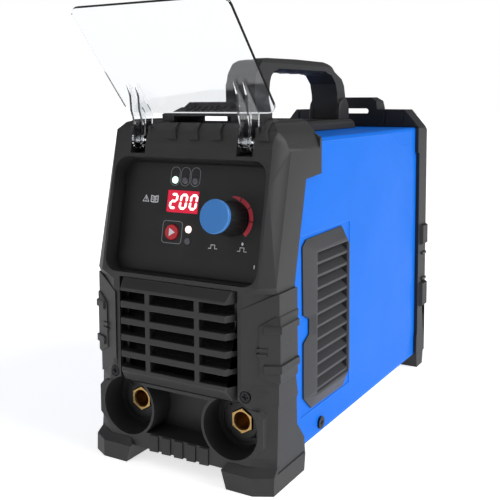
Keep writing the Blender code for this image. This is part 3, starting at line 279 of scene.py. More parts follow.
def turned(name, colour_hex, centre, roughness=0.22):
    """Metal turned about an axis along Y through a centre: rings in bump and roughness."""
    finish, tree, shader, spot = new_finish(name)
    centred = add(tree, "Mapping", {"Location": tuple(-c for c in centre)}, {"Vector": spot})
    rings = add(tree, "TexWave", {"Scale": per_size(RING_MM) / WAVE_TURN, "Distortion": 0.6, "Detail": 2.0},
                {"Vector": centred.outputs["Vector"]}, wave_type="RINGS", rings_direction="Y")
    tarnish = add(tree, "TexNoise", {"Scale": per_size(TARNISH_MM), "Detail": 4.0}, {"Vector": spot})
    age = add(tree, "MapRange", {"From Min": 0.45, "From Max": 0.8, "To Max": 0.6},
              {"Value": tarnish.outputs["Fac"]})
    colour = add(tree, "Mix", {FIRST: linear(colour_hex), SECOND: shade(colour_hex, 0.55)},
                 {FACTOR: age.outputs["Result"]}, data_type="RGBA")
    rough = add(tree, "MapRange", {"To Min": roughness, "To Max": roughness + 0.14},
                {"Value": rings.outputs["Fac"]})
    bump = add(tree, "Bump", {"Strength": 0.5, "Distance": 0.01 * MM}, {"Height": rings.outputs["Fac"]})
    join(tree, shader, colour.outputs[MIXED], rough.outputs["Result"], bump.outputs["Normal"])
    shader.inputs["Metallic"].default_value = 1.0
    return finish


print("rings are drawn", RING_MM, "mm apart")

# %% [markdown]
# # Rolled and plated metals
# Screws are zinc plated or blackened, the chassis is spangled zinc sheet, the bus bars are rolled copper and
# the heat sinks extruded aluminium. All are metals with their own colour, and what sets them apart is the
# direction of the fine scratches that the tool left: a noise squeezed along one axis draws them.

# %% Rolled metal
CLOUD_MM = 9.0
EVEN, ALONG_Y, ALONG_Z = (1, 1, 1), (1, 0.06, 1), (1, 1, 0.08)


def rolled(name, light_hex, dark_hex, roughness, stretch, line_mm=1.2):
    """Rolled or plated metal: faint scratches, long where the stretch is small, and a cloudy tone."""
    finish, tree, shader, spot = new_finish(name)
    drawn = add(tree, "Mapping", {"Scale": stretch}, {"Vector": spot})
    lines = add(tree, "TexNoise", {"Scale": per_size(line_mm), "Detail": 3.0},
                {"Vector": drawn.outputs["Vector"]})
    cloud = add(tree, "TexNoise", {"Scale": per_size(CLOUD_MM), "Detail": 3.0}, {"Vector": spot})
    colour = add(tree, "Mix", {FIRST: linear(light_hex), SECOND: linear(dark_hex)},
                 {FACTOR: cloud.outputs["Fac"]}, data_type="RGBA")
    rough = add(tree, "MapRange", {"To Min": roughness - 0.06, "To Max": roughness + 0.1},
                {"Value": lines.outputs["Fac"]})
    bump = add(tree, "Bump", {"Strength": 0.4, "Distance": 0.01 * MM}, {"Height": lines.outputs["Fac"]})
    join(tree, shader, colour.outputs[MIXED], rough.outputs["Result"], bump.outputs["Normal"])
    shader.inputs["Metallic"].default_value = 1.0
    return finish


screw_steel = rolled("zinc_plated_screw", "#c9cacc", "#8f9094", 0.3, EVEN, 0.6)
black_screw = rolled("black_oxide_screw", "#3a3a3c", "#232325", 0.4, EVEN, 0.6)
zinc_sheet = rolled("spangled_zinc_sheet", "#b9bdc2", "#8a8f96", 0.38, EVEN, 4.0)
bus_copper = rolled("rolled_copper_bar", "#d58a63", "#a05f42", 0.3, ALONG_Z)
sink_alu = rolled("extruded_aluminium", "#c8cbd0", "#9a9da3", 0.34, ALONG_Y)
print("metals:", screw_steel.name, black_screw.name, zinc_sheet.name, bus_copper.name, sink_alu.name)

# %% [markdown]
# # Clear polycarbonate
# The weather shield is a clear sheet: almost invisible face on, and bright along its cut edges. A plain
# transparent shader would lose those edges, so the sheet refracts, and a faint haze from handling keeps its
# reflections from looking like new glass.

# %% Clear sheet
HAZE_MM = 14.0


def clear_sheet(name, tint_hex, roughness=0.02):
    """Polycarbonate with faint handling haze."""
    finish, tree, shader, spot = new_finish(name)
    haze = add(tree, "TexNoise", {"Scale": per_size(HAZE_MM), "Detail": 5.0}, {"Vector": spot})
    rough = add(tree, "MapRange", {"From Min": 0.45, "From Max": 0.8, "To Min": roughness,
                                   "To Max": roughness + 0.05}, {"Value": haze.outputs["Fac"]})
    join(tree, shader, roughness=rough.outputs["Result"])
    shader.inputs["Base Color"].default_value = linear(tint_hex)
    shader.inputs["Transmission Weight"].default_value = 1.0
    shader.inputs["IOR"].default_value = 1.58
    return finish


shield_clear = clear_sheet("clear_polycarbonate", "#fbfdff")
print("clear finish:", shield_clear.name)

# %% [markdown]
# # Lamps and lit figures
# The display is a red filter over lit segments, and the lamps are small diffusing lenses. Real lamps would
# need light sources behind glass. A surface that gives off a little light of its own looks the same from
# outside, and a faint unevenness stands for the diffuser.

# %% Lit finishes
def lit(name, colour_hex, glow_hex, strength, roughness=0.3, cell_mm=1.5):
    """A lens or segment with a lamp behind it, a little uneven as diffusers are; an unlit lens gets a faint
    painted glow.
    """
    finish, tree, shader, spot = new_finish(name)
    cells = add(tree, "TexNoise", {"Scale": per_size(cell_mm), "Detail": 2.0}, {"Vector": spot})
    glow = add(tree, "Mix", {FIRST: linear(glow_hex), SECOND: shade(glow_hex, 0.72)},
               {FACTOR: cells.outputs["Fac"]}, data_type="RGBA")
    tree.links.new(glow.outputs[MIXED], shader.inputs["Emission Color"])
    shader.inputs["Emission Strength"].default_value = strength
    shader.inputs["Base Color"].default_value = linear(colour_hex)
    shader.inputs["Roughness"].default_value = roughness
    return finish


display_glow = lit("red_display_filter", "#7a0f1e", "#e02a48", 0.9, 0.16, 3.0)
digit_glow = lit("lit_display_segment", "#ffd9d2", "#ffe9e2", 1.6)
green_lamp = lit("lit_green_lamp", "#c9f5e4", "#d9fff0", 1.5)
red_lamp = lit("lit_red_lamp", "#ffd0c4", "#ffe4dc", 1.5)
# the unlit lens still glows faintly: a painted glow, with no lamp behind it
dark_lamp_painted_glow = lit("unlit_lamp_lens_painted_glow", "#5a585f", "#5a585f", 0.05, 0.25)
print("lit finishes:", display_glow.name, digit_glow.name, green_lamp.name, red_lamp.name)

# %% [markdown]
# # Film and ink
# The fascia is a black polyester film with ink screen printed on it, so each ink is a separate thin layer
# and not a picture. The film has a fine embossed grain and the smears of fingers, which show as slow changes
# of gloss more than of colour.

# %% Film and ink
EMBOSS_MM = 0.7
SMEAR_MM = 22.0
SMEAR_LIFT = 0.006          # how much paler a smear is, in linear colour


def film(name, colour_hex, roughness=0.42):
    """Printed or plain polyester film with a fine embossed grain."""
    finish, tree, shader, spot = new_finish(name)
    emboss = add(tree, "TexNoise", {"Scale": per_size(EMBOSS_MM), "Detail": 2.0}, {"Vector": spot})
    smear = add(tree, "TexNoise", {"Scale": per_size(SMEAR_MM), "Detail": 4.0}, {"Vector": spot})
    paler = (*[min(1.0, c + SMEAR_LIFT) for c in linear(colour_hex)[:3]], 1.0)
    colour = add(tree, "Mix", {FIRST: linear(colour_hex), SECOND: paler},
                 {FACTOR: smear.outputs["Fac"]}, data_type="RGBA")
    rough = add(tree, "MapRange", {"From Min": 0.3, "From Max": 0.7, "To Min": roughness - 0.05,
                                   "To Max": roughness + 0.08}, {"Value": smear.outputs["Fac"]})
    bump = add(tree, "Bump", {"Strength": 0.6, "Distance": 0.012 * MM}, {"Height": emboss.outputs["Fac"]})
    join(tree, shader, colour.outputs[MIXED], rough.outputs["Result"], bump.outputs["Normal"])
    return finish


panel_film = film("black_polyester_film", "#0e0e0f")
white_ink = film("white_screen_ink", "#d8dade", 0.5)
grey_ink = film("grey_screen_ink", "#85878c", 0.5)
red_ink = film("red_screen_ink", "#b8323f")
print("film and inks:", panel_film.name, white_ink.name, grey_ink.name, red_ink.name)

# %% [markdown]
# # What is inside
# The circuit board, the ferrite core, the taped windings and the sleeved capacitors are seen only through
# the louvres, but the model comes apart, so each has its own finish. A brick pattern is a quick way to a
# board's grid of copper under green lacquer, and a fine wave is how tape lies round a coil.

# %% Finishes for the inner pieces
TRACK_MM = 11.0


def laminate(name):
    """Green lacquered glass epoxy over a grid of copper tracks."""
    finish, tree, shader, spot = new_finish(name)
    tracks = add(tree, "TexBrick", {"Scale": per_size(TRACK_MM), "Mortar Size": 0.05,
                                    "Color1": linear("#1d6b3a"), "Color2": linear("#175a31"),
                                    "Mortar": linear("#2f8a4f")}, {"Vector": spot})
    bump = add(tree, "Bump", {"Strength": 0.5, "Distance": 0.03 * MM}, {"Height": tracks.outputs["Fac"]})
    join(tree, shader, tracks.outputs["Color"], normal=bump.outputs["Normal"])
    shader.inputs["Roughness"].default_value = 0.3
    return finish


def taped(name, light_hex, dark_hex, pitch_mm):
    """Tape or wire wound in even turns."""
    finish, tree, shader, spot = new_finish(name)
    turns = add(tree, "TexWave", {"Scale": per_size(pitch_mm) / WAVE_TURN, "Distortion": 1.2, "Detail": 1.0},
                {"Vector": spot}, bands_direction="Z")
    colour = add(tree, "Mix", {FIRST: linear(dark_hex), SECOND: linear(light_hex)},
                 {FACTOR: turns.outputs["Fac"]}, data_type="RGBA")
    bump = add(tree, "Bump", {"Strength": 0.7, "Distance": 0.2 * MM}, {"Height": turns.outputs["Fac"]})
    join(tree, shader, colour.outputs[MIXED], normal=bump.outputs["Normal"])
    shader.inputs["Roughness"].default_value = 0.4
    return finish


board_green = laminate("green_board_laminate")
winding_tape = taped("yellow_winding_tape", "#e0b040", "#b58420", 3.0)
sleeve_blue = taped("blue_capacitor_sleeve", "#1c2c55", "#16223f", 18.0)
ferrite = moulded("sintered_ferrite", "#2b2b2e", "#4a4a4c", 0.6, 1.4, 0.05)
print("inner finishes:", board_green.name, winding_tape.name, sleeve_blue.name, ferrite.name)

# %% [markdown]
# # Rounded edges
# No moulded or bent edge is truly sharp: a moulding has radii of half a millimetre or more, and it is the
# thin line of light along them that makes plastic look solid. The engineering solids have sharp edges. A
# Bevel modifier on them would work on loose triangles, so instead a copy is merged into clean flat faces,
# its sharp edges are rounded with bmesh, and the new faces are marked for the wear in the material. Where
# an edge is too short for the radius, it and its neighbours stay sharp, or the bevel would fold over itself.

# %% Round the sharp edges of a copy
MERGE_MM = 0.002
FLAT_DEG = 0.8
SHARP_DEG = 24
ROOM = 2.4                  # an edge shorter than this many radii is too short to round


def merged_copy(node_name):
    """The node's triangles merged into closed flat faces, ready for edge work."""
    bm = bmesh.new()
    bm.from_mesh(nodes[node_name].data)
    bmesh.ops.remove_doubles(bm, verts=bm.verts, dist=MERGE_MM * MM)
    bmesh.ops.dissolve_limit(bm, angle_limit=math.radians(FLAT_DEG), verts=bm.verts, edges=bm.edges)
    return bm


def bevel_and_mark(bm, edges, radius_mm):
    """Rounds some edges and marks the new faces as edge wear."""
    wear = bm.faces.layers.float.new("edge_wear")
    made = bmesh.ops.bevel(bm, geom=edges, offset=radius_mm * MM, offset_type="OFFSET", segments=2,
                           profile=0.5, affect="EDGES", clamp_overlap=True, material=-1)
    for face in made["faces"]:
        face[wear] = 1.0


def round_edges(bm, radius_mm):
    """Rounds every sharp edge that has room for the radius, and returns how many there were."""
    crowded = {v for e in bm.edges if e.calc_length() < ROOM * radius_mm * MM for v in e.verts}
    sharp = [e for e in bm.edges
             if len(e.link_faces) == 2 and e.calc_face_angle(0) > math.radians(SHARP_DEG)
             and not crowded.intersection(e.verts)]
    bevel_and_mark(bm, sharp, radius_mm)
    return len(sharp)


print("edges sharper than", SHARP_DEG, "degrees are rounded")

# %% [markdown]
# # Placing a piece
# Every finished piece goes through one function. A refined copy also hides the node it stands for. Weighted
# normals keep the big faces flat in shading, which printed marks, being flat already, don't need.

# %% Show a piece on its body
SMOOTH_DEG = 30


def show(bm, name, finish, body, stands_for=(), weighted=True):
    """Turns a bmesh into a piece that rides on a body and, if it is a refined copy, stands for its node."""
    mesh = bpy.data.meshes.new(name)
    bm.to_mesh(mesh)
    bm.free()
    mesh.materials.append(finish)
    mesh.shade_smooth()
    mesh.set_sharp_from_angle(angle=math.radians(SMOOTH_DEG))
    piece = bpy.data.objects.new(name, mesh)
    bpy.context.scene.collection.objects.link(piece)
    if weighted:
        even = piece.modifiers.new("even_shading", "WEIGHTED_NORMAL")
        even.keep_sharp = True
    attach(piece, body)
    if stands_for:
        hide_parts(*stands_for)
    return piece


bodies = frame["record"]["behaviour"]["bodies"]
body_of = {name: body for body, members in bodies.items() for name in members}
print("bodies:", list(bodies))

# %% [markdown]
# # The rounded pieces
# The radius depends on how a piece is made: the grip has the largest, for the hand, big mouldings have more
# than small ones, and bent steel and the thin panel have almost none.

# %% Radius, finish and slot of each rounded piece
ROUNDED = {
    "front_frame": (0.7, frame_abs, "frame_plastic"),
    "rear_frame": (0.7, rear_abs_painted_shade, "frame_plastic"),
    "front_grille": (0.6, grille_abs, "grille_plastic"),
    "side_vent_right": (0.5, vent_abs, "vent_plastic"),
    "side_vent_left": (0.5, vent_abs, "vent_plastic"),
    "cover": (0.4, cover_paint, "cover_paint"),
    "handle": (1.3, handle_pa, "handle_plastic"),
    "handle_saddle": (0.9, saddle_pa, "saddle_plastic"),
    "control_panel": (0.25, panel_film, "panel_film"),
    "socket_body_positive": (0.35, socket_pa, "socket_plastic"),
    "socket_body_negative": (0.35, socket_pa, "socket_plastic"),
    "knob_body": (0.3, knob_rubber, "knob_rubber"),
    "mode_button": (0.3, button_abs, "button_red"),
    "rear_panel": (0.3, panel_paint, "panel_paint"),
    "fan_guard": (0.5, fan_pbt, "fan_plastic"),
    "fan_rotor": (0.25, fan_pbt, "fan_plastic"),
    "switch_body": (0.5, socket_pa, "socket_plastic"),
    "switch_rocker": (0.5, knob_rubber, "knob_rubber"),
    "cable_gland": (0.4, socket_pa, "socket_plastic"),
    "shield": (0.35, shield_clear, "clear_plastic"),
}
for node_name, (radius_mm, finish, slot_name) in ROUNDED.items():
    bm = merged_copy(node_name)
    rounded = round_edges(bm, radius_mm)
    piece = show(bm, node_name + "_finished", finish, body_of[node_name], [node_name])
    print(piece.name, rounded, "edges rounded to", radius_mm, "mm,", len(piece.data.polygons), "faces")

# %% [markdown]
# # Nodes that keep their own mesh
# Screws, pins, nuts and everything inside already have their true shape, so they only need a finish. It
# would be wasted work to rebuild them, and the fewer copies there are, the less can go wrong at a joint.

# %% Finishes for the carried-over nodes
def finish_node(node_name, finish):
    """Gives a node that keeps its mesh its finish."""
    mesh = nodes[node_name].data
    mesh.materials.clear()
    mesh.materials.append(finish)


for side in ("positive", "negative"):
    low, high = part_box("socket_contact_" + side)
    finish_node("socket_contact_" + side, turned("turned_brass_" + side, "#b3925e", (low + high) / 2))
    finish_node("bus_bar_" + side, bus_copper)
    finish_node("bar_nut_" + side, screw_steel)
for side in ("right", "left"):
    finish_node("grille_screw_" + side, black_screw)
    finish_node("cover_screw_" + side, black_screw)
    finish_node("shield_pin_" + side, screw_steel)
    finish_node("heat_sink_" + side, sink_alu)
CARRIED = {
    "handle_screw_front": screw_steel, "handle_screw_rear": screw_steel, "encoder_shaft": screw_steel,
    "encoder_body": zinc_sheet, "base_pan": zinc_sheet, "control_board": board_green,
    "main_board": board_green, "dust_filter": filter_foam_painted_shade, "fan_frame": fan_pbt, "gland_nut": socket_pa,
    "transformer_core": ferrite, "transformer_winding": winding_tape, "choke": winding_tape,
    "capacitor_a": sleeve_blue, "capacitor_b": sleeve_blue, "knob_cap": cap_abs,
    "display_module": display_glow, "display_window": display_glow, "lamp_hot": green_lamp,
    "lamp_stick": red_lamp, "lamp_arc": dark_lamp_painted_glow, "lamp_force": dark_lamp_painted_glow, "lamp_lift": dark_lamp_painted_glow,
}
for node_name, finish in CARRIED.items():
    finish_node(node_name, finish)
print("nodes that keep their mesh:", len(nodes) - len(ROUNDED))

# %% [markdown]
# # Pressed field of the cover
# The long side of the cover is not one flat sheet: the middle is pressed out by a millimetre, and a narrow
# band stays lower along the roof and the rear frame. Pressing stiffens the sheet so that it does not drum.
# Cutting the step into the cover itself would mean bending its outline round every corner, so the field is
# one outline laid on the sheet, with a hole for the louvre insert, raised, and softened along its rim.

# %% Pressed field
LENGTH_MID = 153.915        # the outline is measured from the front feet, and the frame from the middle
SEAT_X = 71.38              # just under the face of the sheet
FIELD_RISE = 0.9
FIELD_EDGE = 0.8
LOUVRE_ROOM = 1.6           # left free round the louvre insert
FIELD = ((58.4, 208.9), (59.2, 213.2), (83.6, 215.6), (83.6, 236.4), (231.0, 236.4), (262.0, 223.5),
         (284.0, 222.6), (288.0, 213.4), (299.4, 206.4), (299.4, 144.0), (294.6, 140.4), (294.6, 122.0),
         (299.0, 118.6), (299.0, 83.0), (295.0, 79.4), (295.0, 62.0), (299.0, 58.4), (299.0, 38.0),
         (287.0, 15.2), (60.5, 15.2), (46.8, 38.0), (47.2, 60.0), (43.6, 78.0), (44.2, 138.0))


def louvre_hole(word):
    """The outline round the louvre insert, along the machine and up, in millimetres."""
    low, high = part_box("side_vent_" + word)
    front, back = low.y / MM + LENGTH_MID - LOUVRE_ROOM, high.y / MM + LENGTH_MID + LOUVRE_ROOM
    bottom, top = low.z / MM - LOUVRE_ROOM, high.z / MM + LOUVRE_ROOM
    return [(front, top), (back, top), (back, bottom), (front, bottom)]


for side, word in ((1, "right"), (-1, "left")):
    bm = bmesh.new()
    loops = [[bm.verts.new((side * SEAT_X * MM, (y - LENGTH_MID) * MM, z * MM)) for y, z in outline]
             for outline in (FIELD, louvre_hole(word))]
    rim = [bm.edges.new((loop[i], loop[(i + 1) % len(loop)])) for loop in loops for i in range(len(loop))]
    bmesh.ops.triangle_fill(bm, edges=rim, use_beauty=True, normal=(side, 0, 0))
    bmesh.ops.dissolve_limit(bm, angle_limit=math.radians(0.5), verts=bm.verts, edges=bm.edges)
    lifted = bmesh.ops.extrude_face_region(bm, geom=list(bm.faces))
    top = [v for v in lifted["geom"] if isinstance(v, bmesh.types.BMVert)]
    bmesh.ops.translate(bm, verts=top, vec=(side * FIELD_RISE * MM, 0, 0))
    bmesh.ops.recalc_face_normals(bm, faces=bm.faces)
    face_x = side * (SEAT_X + FIELD_RISE) * MM
    rims = [e for e in bm.edges if all(abs(v.co.x - face_x) < 1e-6 for v in e.verts)
            and len(e.link_faces) == 2 and e.calc_face_angle(0) > 1.0]
    bevel_and_mark(bm, rims, FIELD_EDGE)
    field = show(bm, "cover_field_" + word, cover_paint, "case")
    print(field.name, len(field.data.polygons), "faces")

# %% [markdown]
# # Print on the fascia
# The marks on the fascia are screen printed ink, a few hundredths of a millimetre thick. An image would be
# the usual short cut, but real outlines stay sharp at any distance and need no file. Each mark is drawn as a
# flat outline in the plane of the panel, in millimetres across and up the slope, and extruded by a hair.

# %% Drawing on the slanted face
FACE_FOOT = Vector((0.0, -0.148915, 0.1418))
FACE_LEAN, FACE_RISE = 17.5, 83.9
FACE_UP = Vector((0.0, FACE_LEAN, FACE_RISE)).normalized()
FACE_OUT = Vector((0.0, -FACE_UP.z, FACE_UP.y))
PANEL_W = -12.0             # the panel lies this far behind the slanted face
SHEET_W = PANEL_W + 0.004
INK = 0.06


def on_face(x, v, w):
    """The point x across, v up the slope and w out of the slanted face, all in millimetres."""
    return FACE_FOOT + (Vector((x, 0, 0)) + FACE_UP * v + FACE_OUT * w) * MM


def raise_by(bm, faces, thick):
    """Extrudes flat faces out of the slope."""
    made = bmesh.ops.extrude_face_region(bm, geom=faces)
    top = [v for v in made["geom"] if isinstance(v, bmesh.types.BMVert)]
    bmesh.ops.translate(bm, verts=top, vec=FACE_OUT * thick * MM)


def patch(bm, outline, w=SHEET_W, thick=INK):
    """A filled outline on the face, extruded outwards."""
    face = bm.faces.new([bm.verts.new(on_face(x, v, w)) for x, v in outline])
    raise_by(bm, [face], thick)


def band(bm, outer, inner, closed=True):
    """The strip between two outlines with the same number of points."""
    ring_a = [bm.verts.new(on_face(x, v, SHEET_W)) for x, v in outer]
    ring_b = [bm.verts.new(on_face(x, v, SHEET_W)) for x, v in inner]
    count = len(outer)
    faces = [bm.faces.new((ring_a[i], ring_a[(i + 1) % count], ring_b[(i + 1) % count], ring_b[i]))
             for i in range(count if closed else count - 1)]
    raise_by(bm, faces, INK)


def printed(bm, name, finish, body):
    """A printed piece, with its faces turned outwards."""
    bmesh.ops.recalc_face_normals(bm, faces=bm.faces)
    return show(bm, name, finish, body, weighted=False)


lean_deg = math.degrees(math.atan2(FACE_LEAN, FACE_RISE))
print("panel plane leans back by", round(lean_deg, 1), "degrees")

# %% [markdown]
# # Grey frames
# Thin grey lines gather each lamp in a tall loop and put a rounded box round the button. They are bands
# between two rounded rectangles, whose corners are arcs worked out by a formula.

# %% Frames round the lamps and the button
def arc(cx, cv, radius, start_deg, end_deg, count):
    """Points along an arc, both ends included."""
    step = (end_deg - start_deg) / count
    return [(cx + radius * math.cos(math.radians(start_deg + k * step)),
             cv + radius * math.sin(math.radians(start_deg + k * step))) for k in range(count + 1)]


def soft_box(x0, x1, v0, v1, radius, count=5):
    """A rectangle with rounded corners."""
    return (arc(x1 - radius, v0 + radius, radius, -90, 0, count)
            + arc(x1 - radius, v1 - radius, radius, 0, 90, count)
            + arc(x0 + radius, v1 - radius, radius, 90, 180, count)
            + arc(x0 + radius, v0 + radius, radius, 180, 270, count))


def frame_line(bm, x0, x1, v0, v1, radius, width):
    """An outlined rounded box."""
    inner = soft_box(x0 + width, x1 - width, v0 + width, v1 - width, max(radius - width, 0.05))
    band(bm, soft_box(x0, x1, v0, v1, radius), inner)


LAMP_COLUMNS = (-17.9, -8.9, 0.0)
LOOP_HALF, LOOP_LOW, LOOP_HIGH = 4.1, 66.6, 80.6
bm = bmesh.new()
for x in LAMP_COLUMNS:
    frame_line(bm, x - LOOP_HALF, x + LOOP_HALF, LOOP_LOW, LOOP_HIGH, radius=4.0, width=0.32)
frame_line(bm, -24.6, -7.0, 24.2, 40.8, radius=2.6, width=0.4)
frames = printed(bm, "fascia_frames", grey_ink, "case")
print("grey frames:", len(frames.data.polygons), "faces")

# %% [markdown]
# # Red scale round the knob
# A red scale of four blocks runs round the knob. The first block grows from a point, which says that the
# current grows as the knob is turned that way. Each block is a strip between an arc and a second line that
# draws in to its full width.

# %% Red scale
KNOB_X, KNOB_V = 35.0, 45.5
SCALE_OUT, SCALE_WIDE, STEPS = 16.2, 3.2, 8
POINT_WIDE = 0.9
BLOCKS = ((98, 73, POINT_WIDE), (70, 36, SCALE_WIDE), (33, -2, SCALE_WIDE), (-5, -46, SCALE_WIDE))
bm = bmesh.new()
for first, last, lead in BLOCKS:
    inner = []
    for k in range(STEPS + 1):
        reach = SCALE_OUT - lead - (SCALE_WIDE - lead) * k / STEPS
        angle = math.radians(first + (last - first) * k / STEPS)
        inner.append((KNOB_X + reach * math.cos(angle), KNOB_V + reach * math.sin(angle)))
    band(bm, arc(KNOB_X, KNOB_V, SCALE_OUT, first, last, STEPS), inner, closed=False)
scale = printed(bm, "fascia_scale", red_ink, "case")
print("red scale:", len(scale.data.polygons), "faces")

# %% [markdown]
# # Signs
# The warning triangle and the open book are the usual signs to read the manual, and the small pulses under
# the knob stand for turning it and pressing it. They are drawn from a few straight strokes, as a screen
# printer's film would be. Names and words of the maker are left out.

# %% White signs
SIGN_V = 55.2
TRIANGLE_X, TRIANGLE_SIZE, TRIANGLE_LINE = -42.5, 3.5, 0.42
BOOK_X = -34.6
PULSE_V = 23.6
STROKE = 0.2                # half the width of a pulse's line


def triangle(size):
    """A triangle that stands on one side, about the centre of the warning sign."""
    return [(TRIANGLE_X + size * math.cos(math.radians(a)), SIGN_V + size * math.sin(math.radians(a)))
            for a in (90, 210, 330)]


def book_page(bm, sign):
    """One page of the open book, with two lines of writing."""
    page = [(BOOK_X + sign * x, v) for x, v in ((0.25, 53.0), (3.4, 53.5), (3.4, 58.6), (0.25, 58.0))]
    core = [(BOOK_X + sign * x, v) for x, v in ((0.8, 53.7), (2.85, 54.1), (2.85, 57.9), (0.8, 57.4))]
    band(bm, page, core)
    for v in (55.0, 56.2):
        patch(bm, [(BOOK_X + sign * 1.2, v), (BOOK_X + sign * 2.4, v + 0.15),
                   (BOOK_X + sign * 2.4, v + 0.55), (BOOK_X + sign * 1.2, v + 0.4)])


def pulse(bm, x, v):
    """A square pulse drawn as five strokes."""
    line = [(x - 3.6, v), (x - 1.6, v), (x - 1.6, v + 2.6), (x + 1.6, v + 2.6), (x + 1.6, v), (x + 3.6, v)]
    for (xa, va), (xb, vb) in zip(line, line[1:]):
        left, right_end = min(xa, xb) - STROKE, max(xa, xb) + STROKE
        foot, head = min(va, vb) - STROKE, max(va, vb) + STROKE
        patch(bm, [(left, foot), (right_end, foot), (right_end, head), (left, head)])


bm = bmesh.new()
band(bm, triangle(TRIANGLE_SIZE), triangle(TRIANGLE_SIZE - 2 * TRIANGLE_LINE))
patch(bm, [(-42.8, 54.9), (-42.2, 54.9), (-42.1, 57.0), (-42.9, 57.0)])
patch(bm, soft_box(-42.8, -42.2, 53.9, 54.5, 0.2, 2))
for sign in (1, -1):
    book_page(bm, sign)
for x in (20.5, 44.5):
    pulse(bm, x, PULSE_V)
patch(bm, [(44.5, 27.4), (45.5, 28.8), (44.5, 30.2), (43.5, 28.8)])
patch(bm, [(55.2, 12.6), (55.8, 12.6), (55.8, 15.2), (55.2, 15.2)])
printed(bm, "fascia_signs", white_ink, "case")

# %% [markdown]
# # Display digits
# A seven segment display lights bars behind a red filter, leaning a few degrees to the right. A font would
# give smooth figures, which such a display cannot show, so each bar is drawn as its own pointed hexagon.

# %% Seven segment figures
SEGMENTS = {"a": ((0, 1), (1, 1)), "b": ((1, 1), (1, 0.5)), "c": ((1, 0.5), (1, 0)), "d": ((0, 0), (1, 0)),
            "e": ((0, 0.5), (0, 0)), "f": ((0, 1), (0, 0.5)), "g": ((0, 0.5), (1, 0.5))}
FIGURES = {"2": "abged", "0": "abcdef"}
PLACES = (-17.1, -8.4, 0.3)
DIGIT_WIDE, DIGIT_HIGH, BAR, LEAN = 4.9, 9.9, 1.9, 0.13
BAR_GAP = 0.12
DIGIT_W = PANEL_W + 0.12


def lit_bar(segment):
    """The pointed hexagon of one segment, measured from the lower left corner of its figure."""
    start, end = [Vector((x * DIGIT_WIDE, v * DIGIT_HIGH)) for x, v in SEGMENTS[segment]]
    run = (end - start).normalized()
    wide = Vector((-run.y, run.x)) * BAR / 2
    trim, point = run * BAR_GAP, run * BAR / 2
    return [start + trim, start + trim + point + wide, end - trim - point + wide, end - trim,
            end - trim - point - wide, start + trim + point - wide]


bm = bmesh.new()
for place_mm, figure in zip(PLACES, "200"):
    for segment in FIGURES[figure]:
        outline = [(place_mm - DIGIT_WIDE / 2 + p.x + LEAN * (p.y - DIGIT_HIGH / 2),
                    SIGN_V - DIGIT_HIGH / 2 + p.y) for p in lit_bar(segment)]
        patch(bm, outline, DIGIT_W, 0.05)
digits = printed(bm, "display_digits", digit_glow, "case")
print("display digits:", len(digits.data.polygons), "faces")

# %% [markdown]
# # Mark on the button
# The button carries one white arrow head. It rides on the button's cap and not on the case, so that it goes
# in with the button when it is pressed.

# %% Arrow head
bm = bmesh.new()
patch(bm, [(-17.6, 29.4), (-12.4, 32.4), (-17.6, 35.4)], PANEL_W + 1.32)
mark = printed(bm, "button_mark", white_ink, "mode_button_cap")
print("button mark:", len(mark.data.polygons), "faces")

# %% [markdown]
# # Studio floor
# The machine stands on a pale seamless floor. White paper under a lamp never renders evenly white to the
# horizon, so the paper also gives off some light of its own, which keeps only the soft shadow by the feet.

# %% Floor
FLOOR_REACH = 12.0

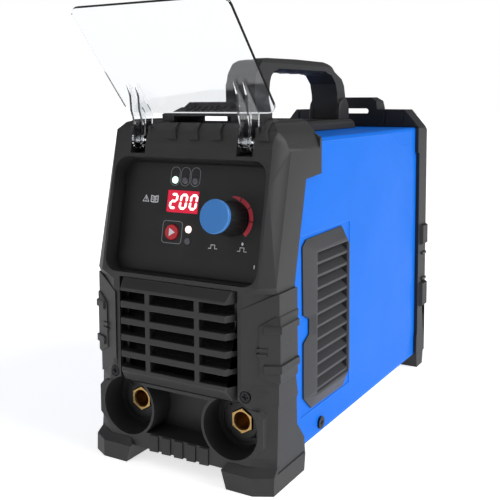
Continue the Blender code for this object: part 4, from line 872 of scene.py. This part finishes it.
bm = bmesh.new()
bmesh.ops.create_circle(bm, cap_ends=True, radius=FLOOR_REACH, segments=64)
floor_mesh = bpy.data.meshes.new("floor")
bm.to_mesh(floor_mesh)
bm.free()
floor = bpy.data.objects.new("floor", floor_mesh)
floor.location = (0, 0, cad_low.z - 0.1 * MM)
bpy.context.scene.collection.objects.link(floor)
floor_paper, tree, shader, spot = new_finish("white_seamless_paper")
fibre = add(tree, "TexNoise", {"Scale": per_size(30), "Detail": 3.0}, {"Vector": spot})
paper = add(tree, "Mix", {FIRST: linear("#f4f4f4"), SECOND: linear("#efefef")},
            {FACTOR: fibre.outputs["Fac"]}, data_type="RGBA")
join(tree, shader, paper.outputs[MIXED])
shader.inputs["Roughness"].default_value = 0.9
shader.inputs["Specular IOR Level"].default_value = 0.1
shader.inputs["Emission Color"].default_value = linear("#ffffff")
shader.inputs["Emission Strength"].default_value = 0.68
floor_mesh.materials.append(floor_paper)
floor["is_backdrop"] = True
print("floor reaches", FLOOR_REACH, "m")

# %% [markdown]
# # Backdrop
# The world is plain white to the camera, also through the clear shield, but gives the machine only a soft
# cool light. One bright world for both would wash the blacks out.

# %% World
world = bpy.data.worlds.new("studio")
world.use_nodes = True
bpy.context.scene.world = world
sky = world.node_tree
ambient = sky.nodes["Background"]
ambient.inputs["Color"].default_value = linear("#eef1f6")
ambient.inputs["Strength"].default_value = 0.22
backdrop = add(sky, "Background", {"Color": linear("#ffffff"), "Strength": 1.0})
seen = add(sky, "LightPath")
through = add(sky, "Math", links={0: seen.outputs["Is Camera Ray"], 1: seen.outputs["Is Transmission Ray"]},
              operation="MAXIMUM")
either = add(sky, "MixShader", links={0: through.outputs[0], 1: ambient.outputs[0], 2: backdrop.outputs[0]})
sky.links.new(either.outputs[0], sky.nodes["World Output"].inputs["Surface"])
print("ambient strength", ambient.inputs["Strength"].default_value)

# %% [markdown]
# # Lights
# The key light is broad and comes from the right, so the long blue side is the brightest and the control
# face sits in half shade. Area lamps would fall off along the floor, so a sun with a very wide disc is used:
# it is as soft as a big box. A weaker one from the front and above lifts the control face.

# %% Key and fill
def sun(name, comes_from, strength, disc_deg):
    """A soft light from one direction."""
    lamp = bpy.data.lights.new(name, "SUN")
    lamp.energy = strength
    lamp.angle = math.radians(disc_deg)
    light = bpy.data.objects.new(name, lamp)
    light.rotation_euler = Vector(comes_from).to_track_quat("Z", "Y").to_euler()
    bpy.context.scene.collection.objects.link(light)


sun("key", (1.0, 0.22, 0.5), 2.3, 45)
sun("fill", (-0.2, -0.8, 0.9), 0.6, 60)
bpy.context.scene.view_settings.view_transform = "Standard"

# %% Sizes and finish
low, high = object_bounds()
print("grown by, in mm:", [round((b - a) / MM, 2) for a, b in zip(cad_high, high)])
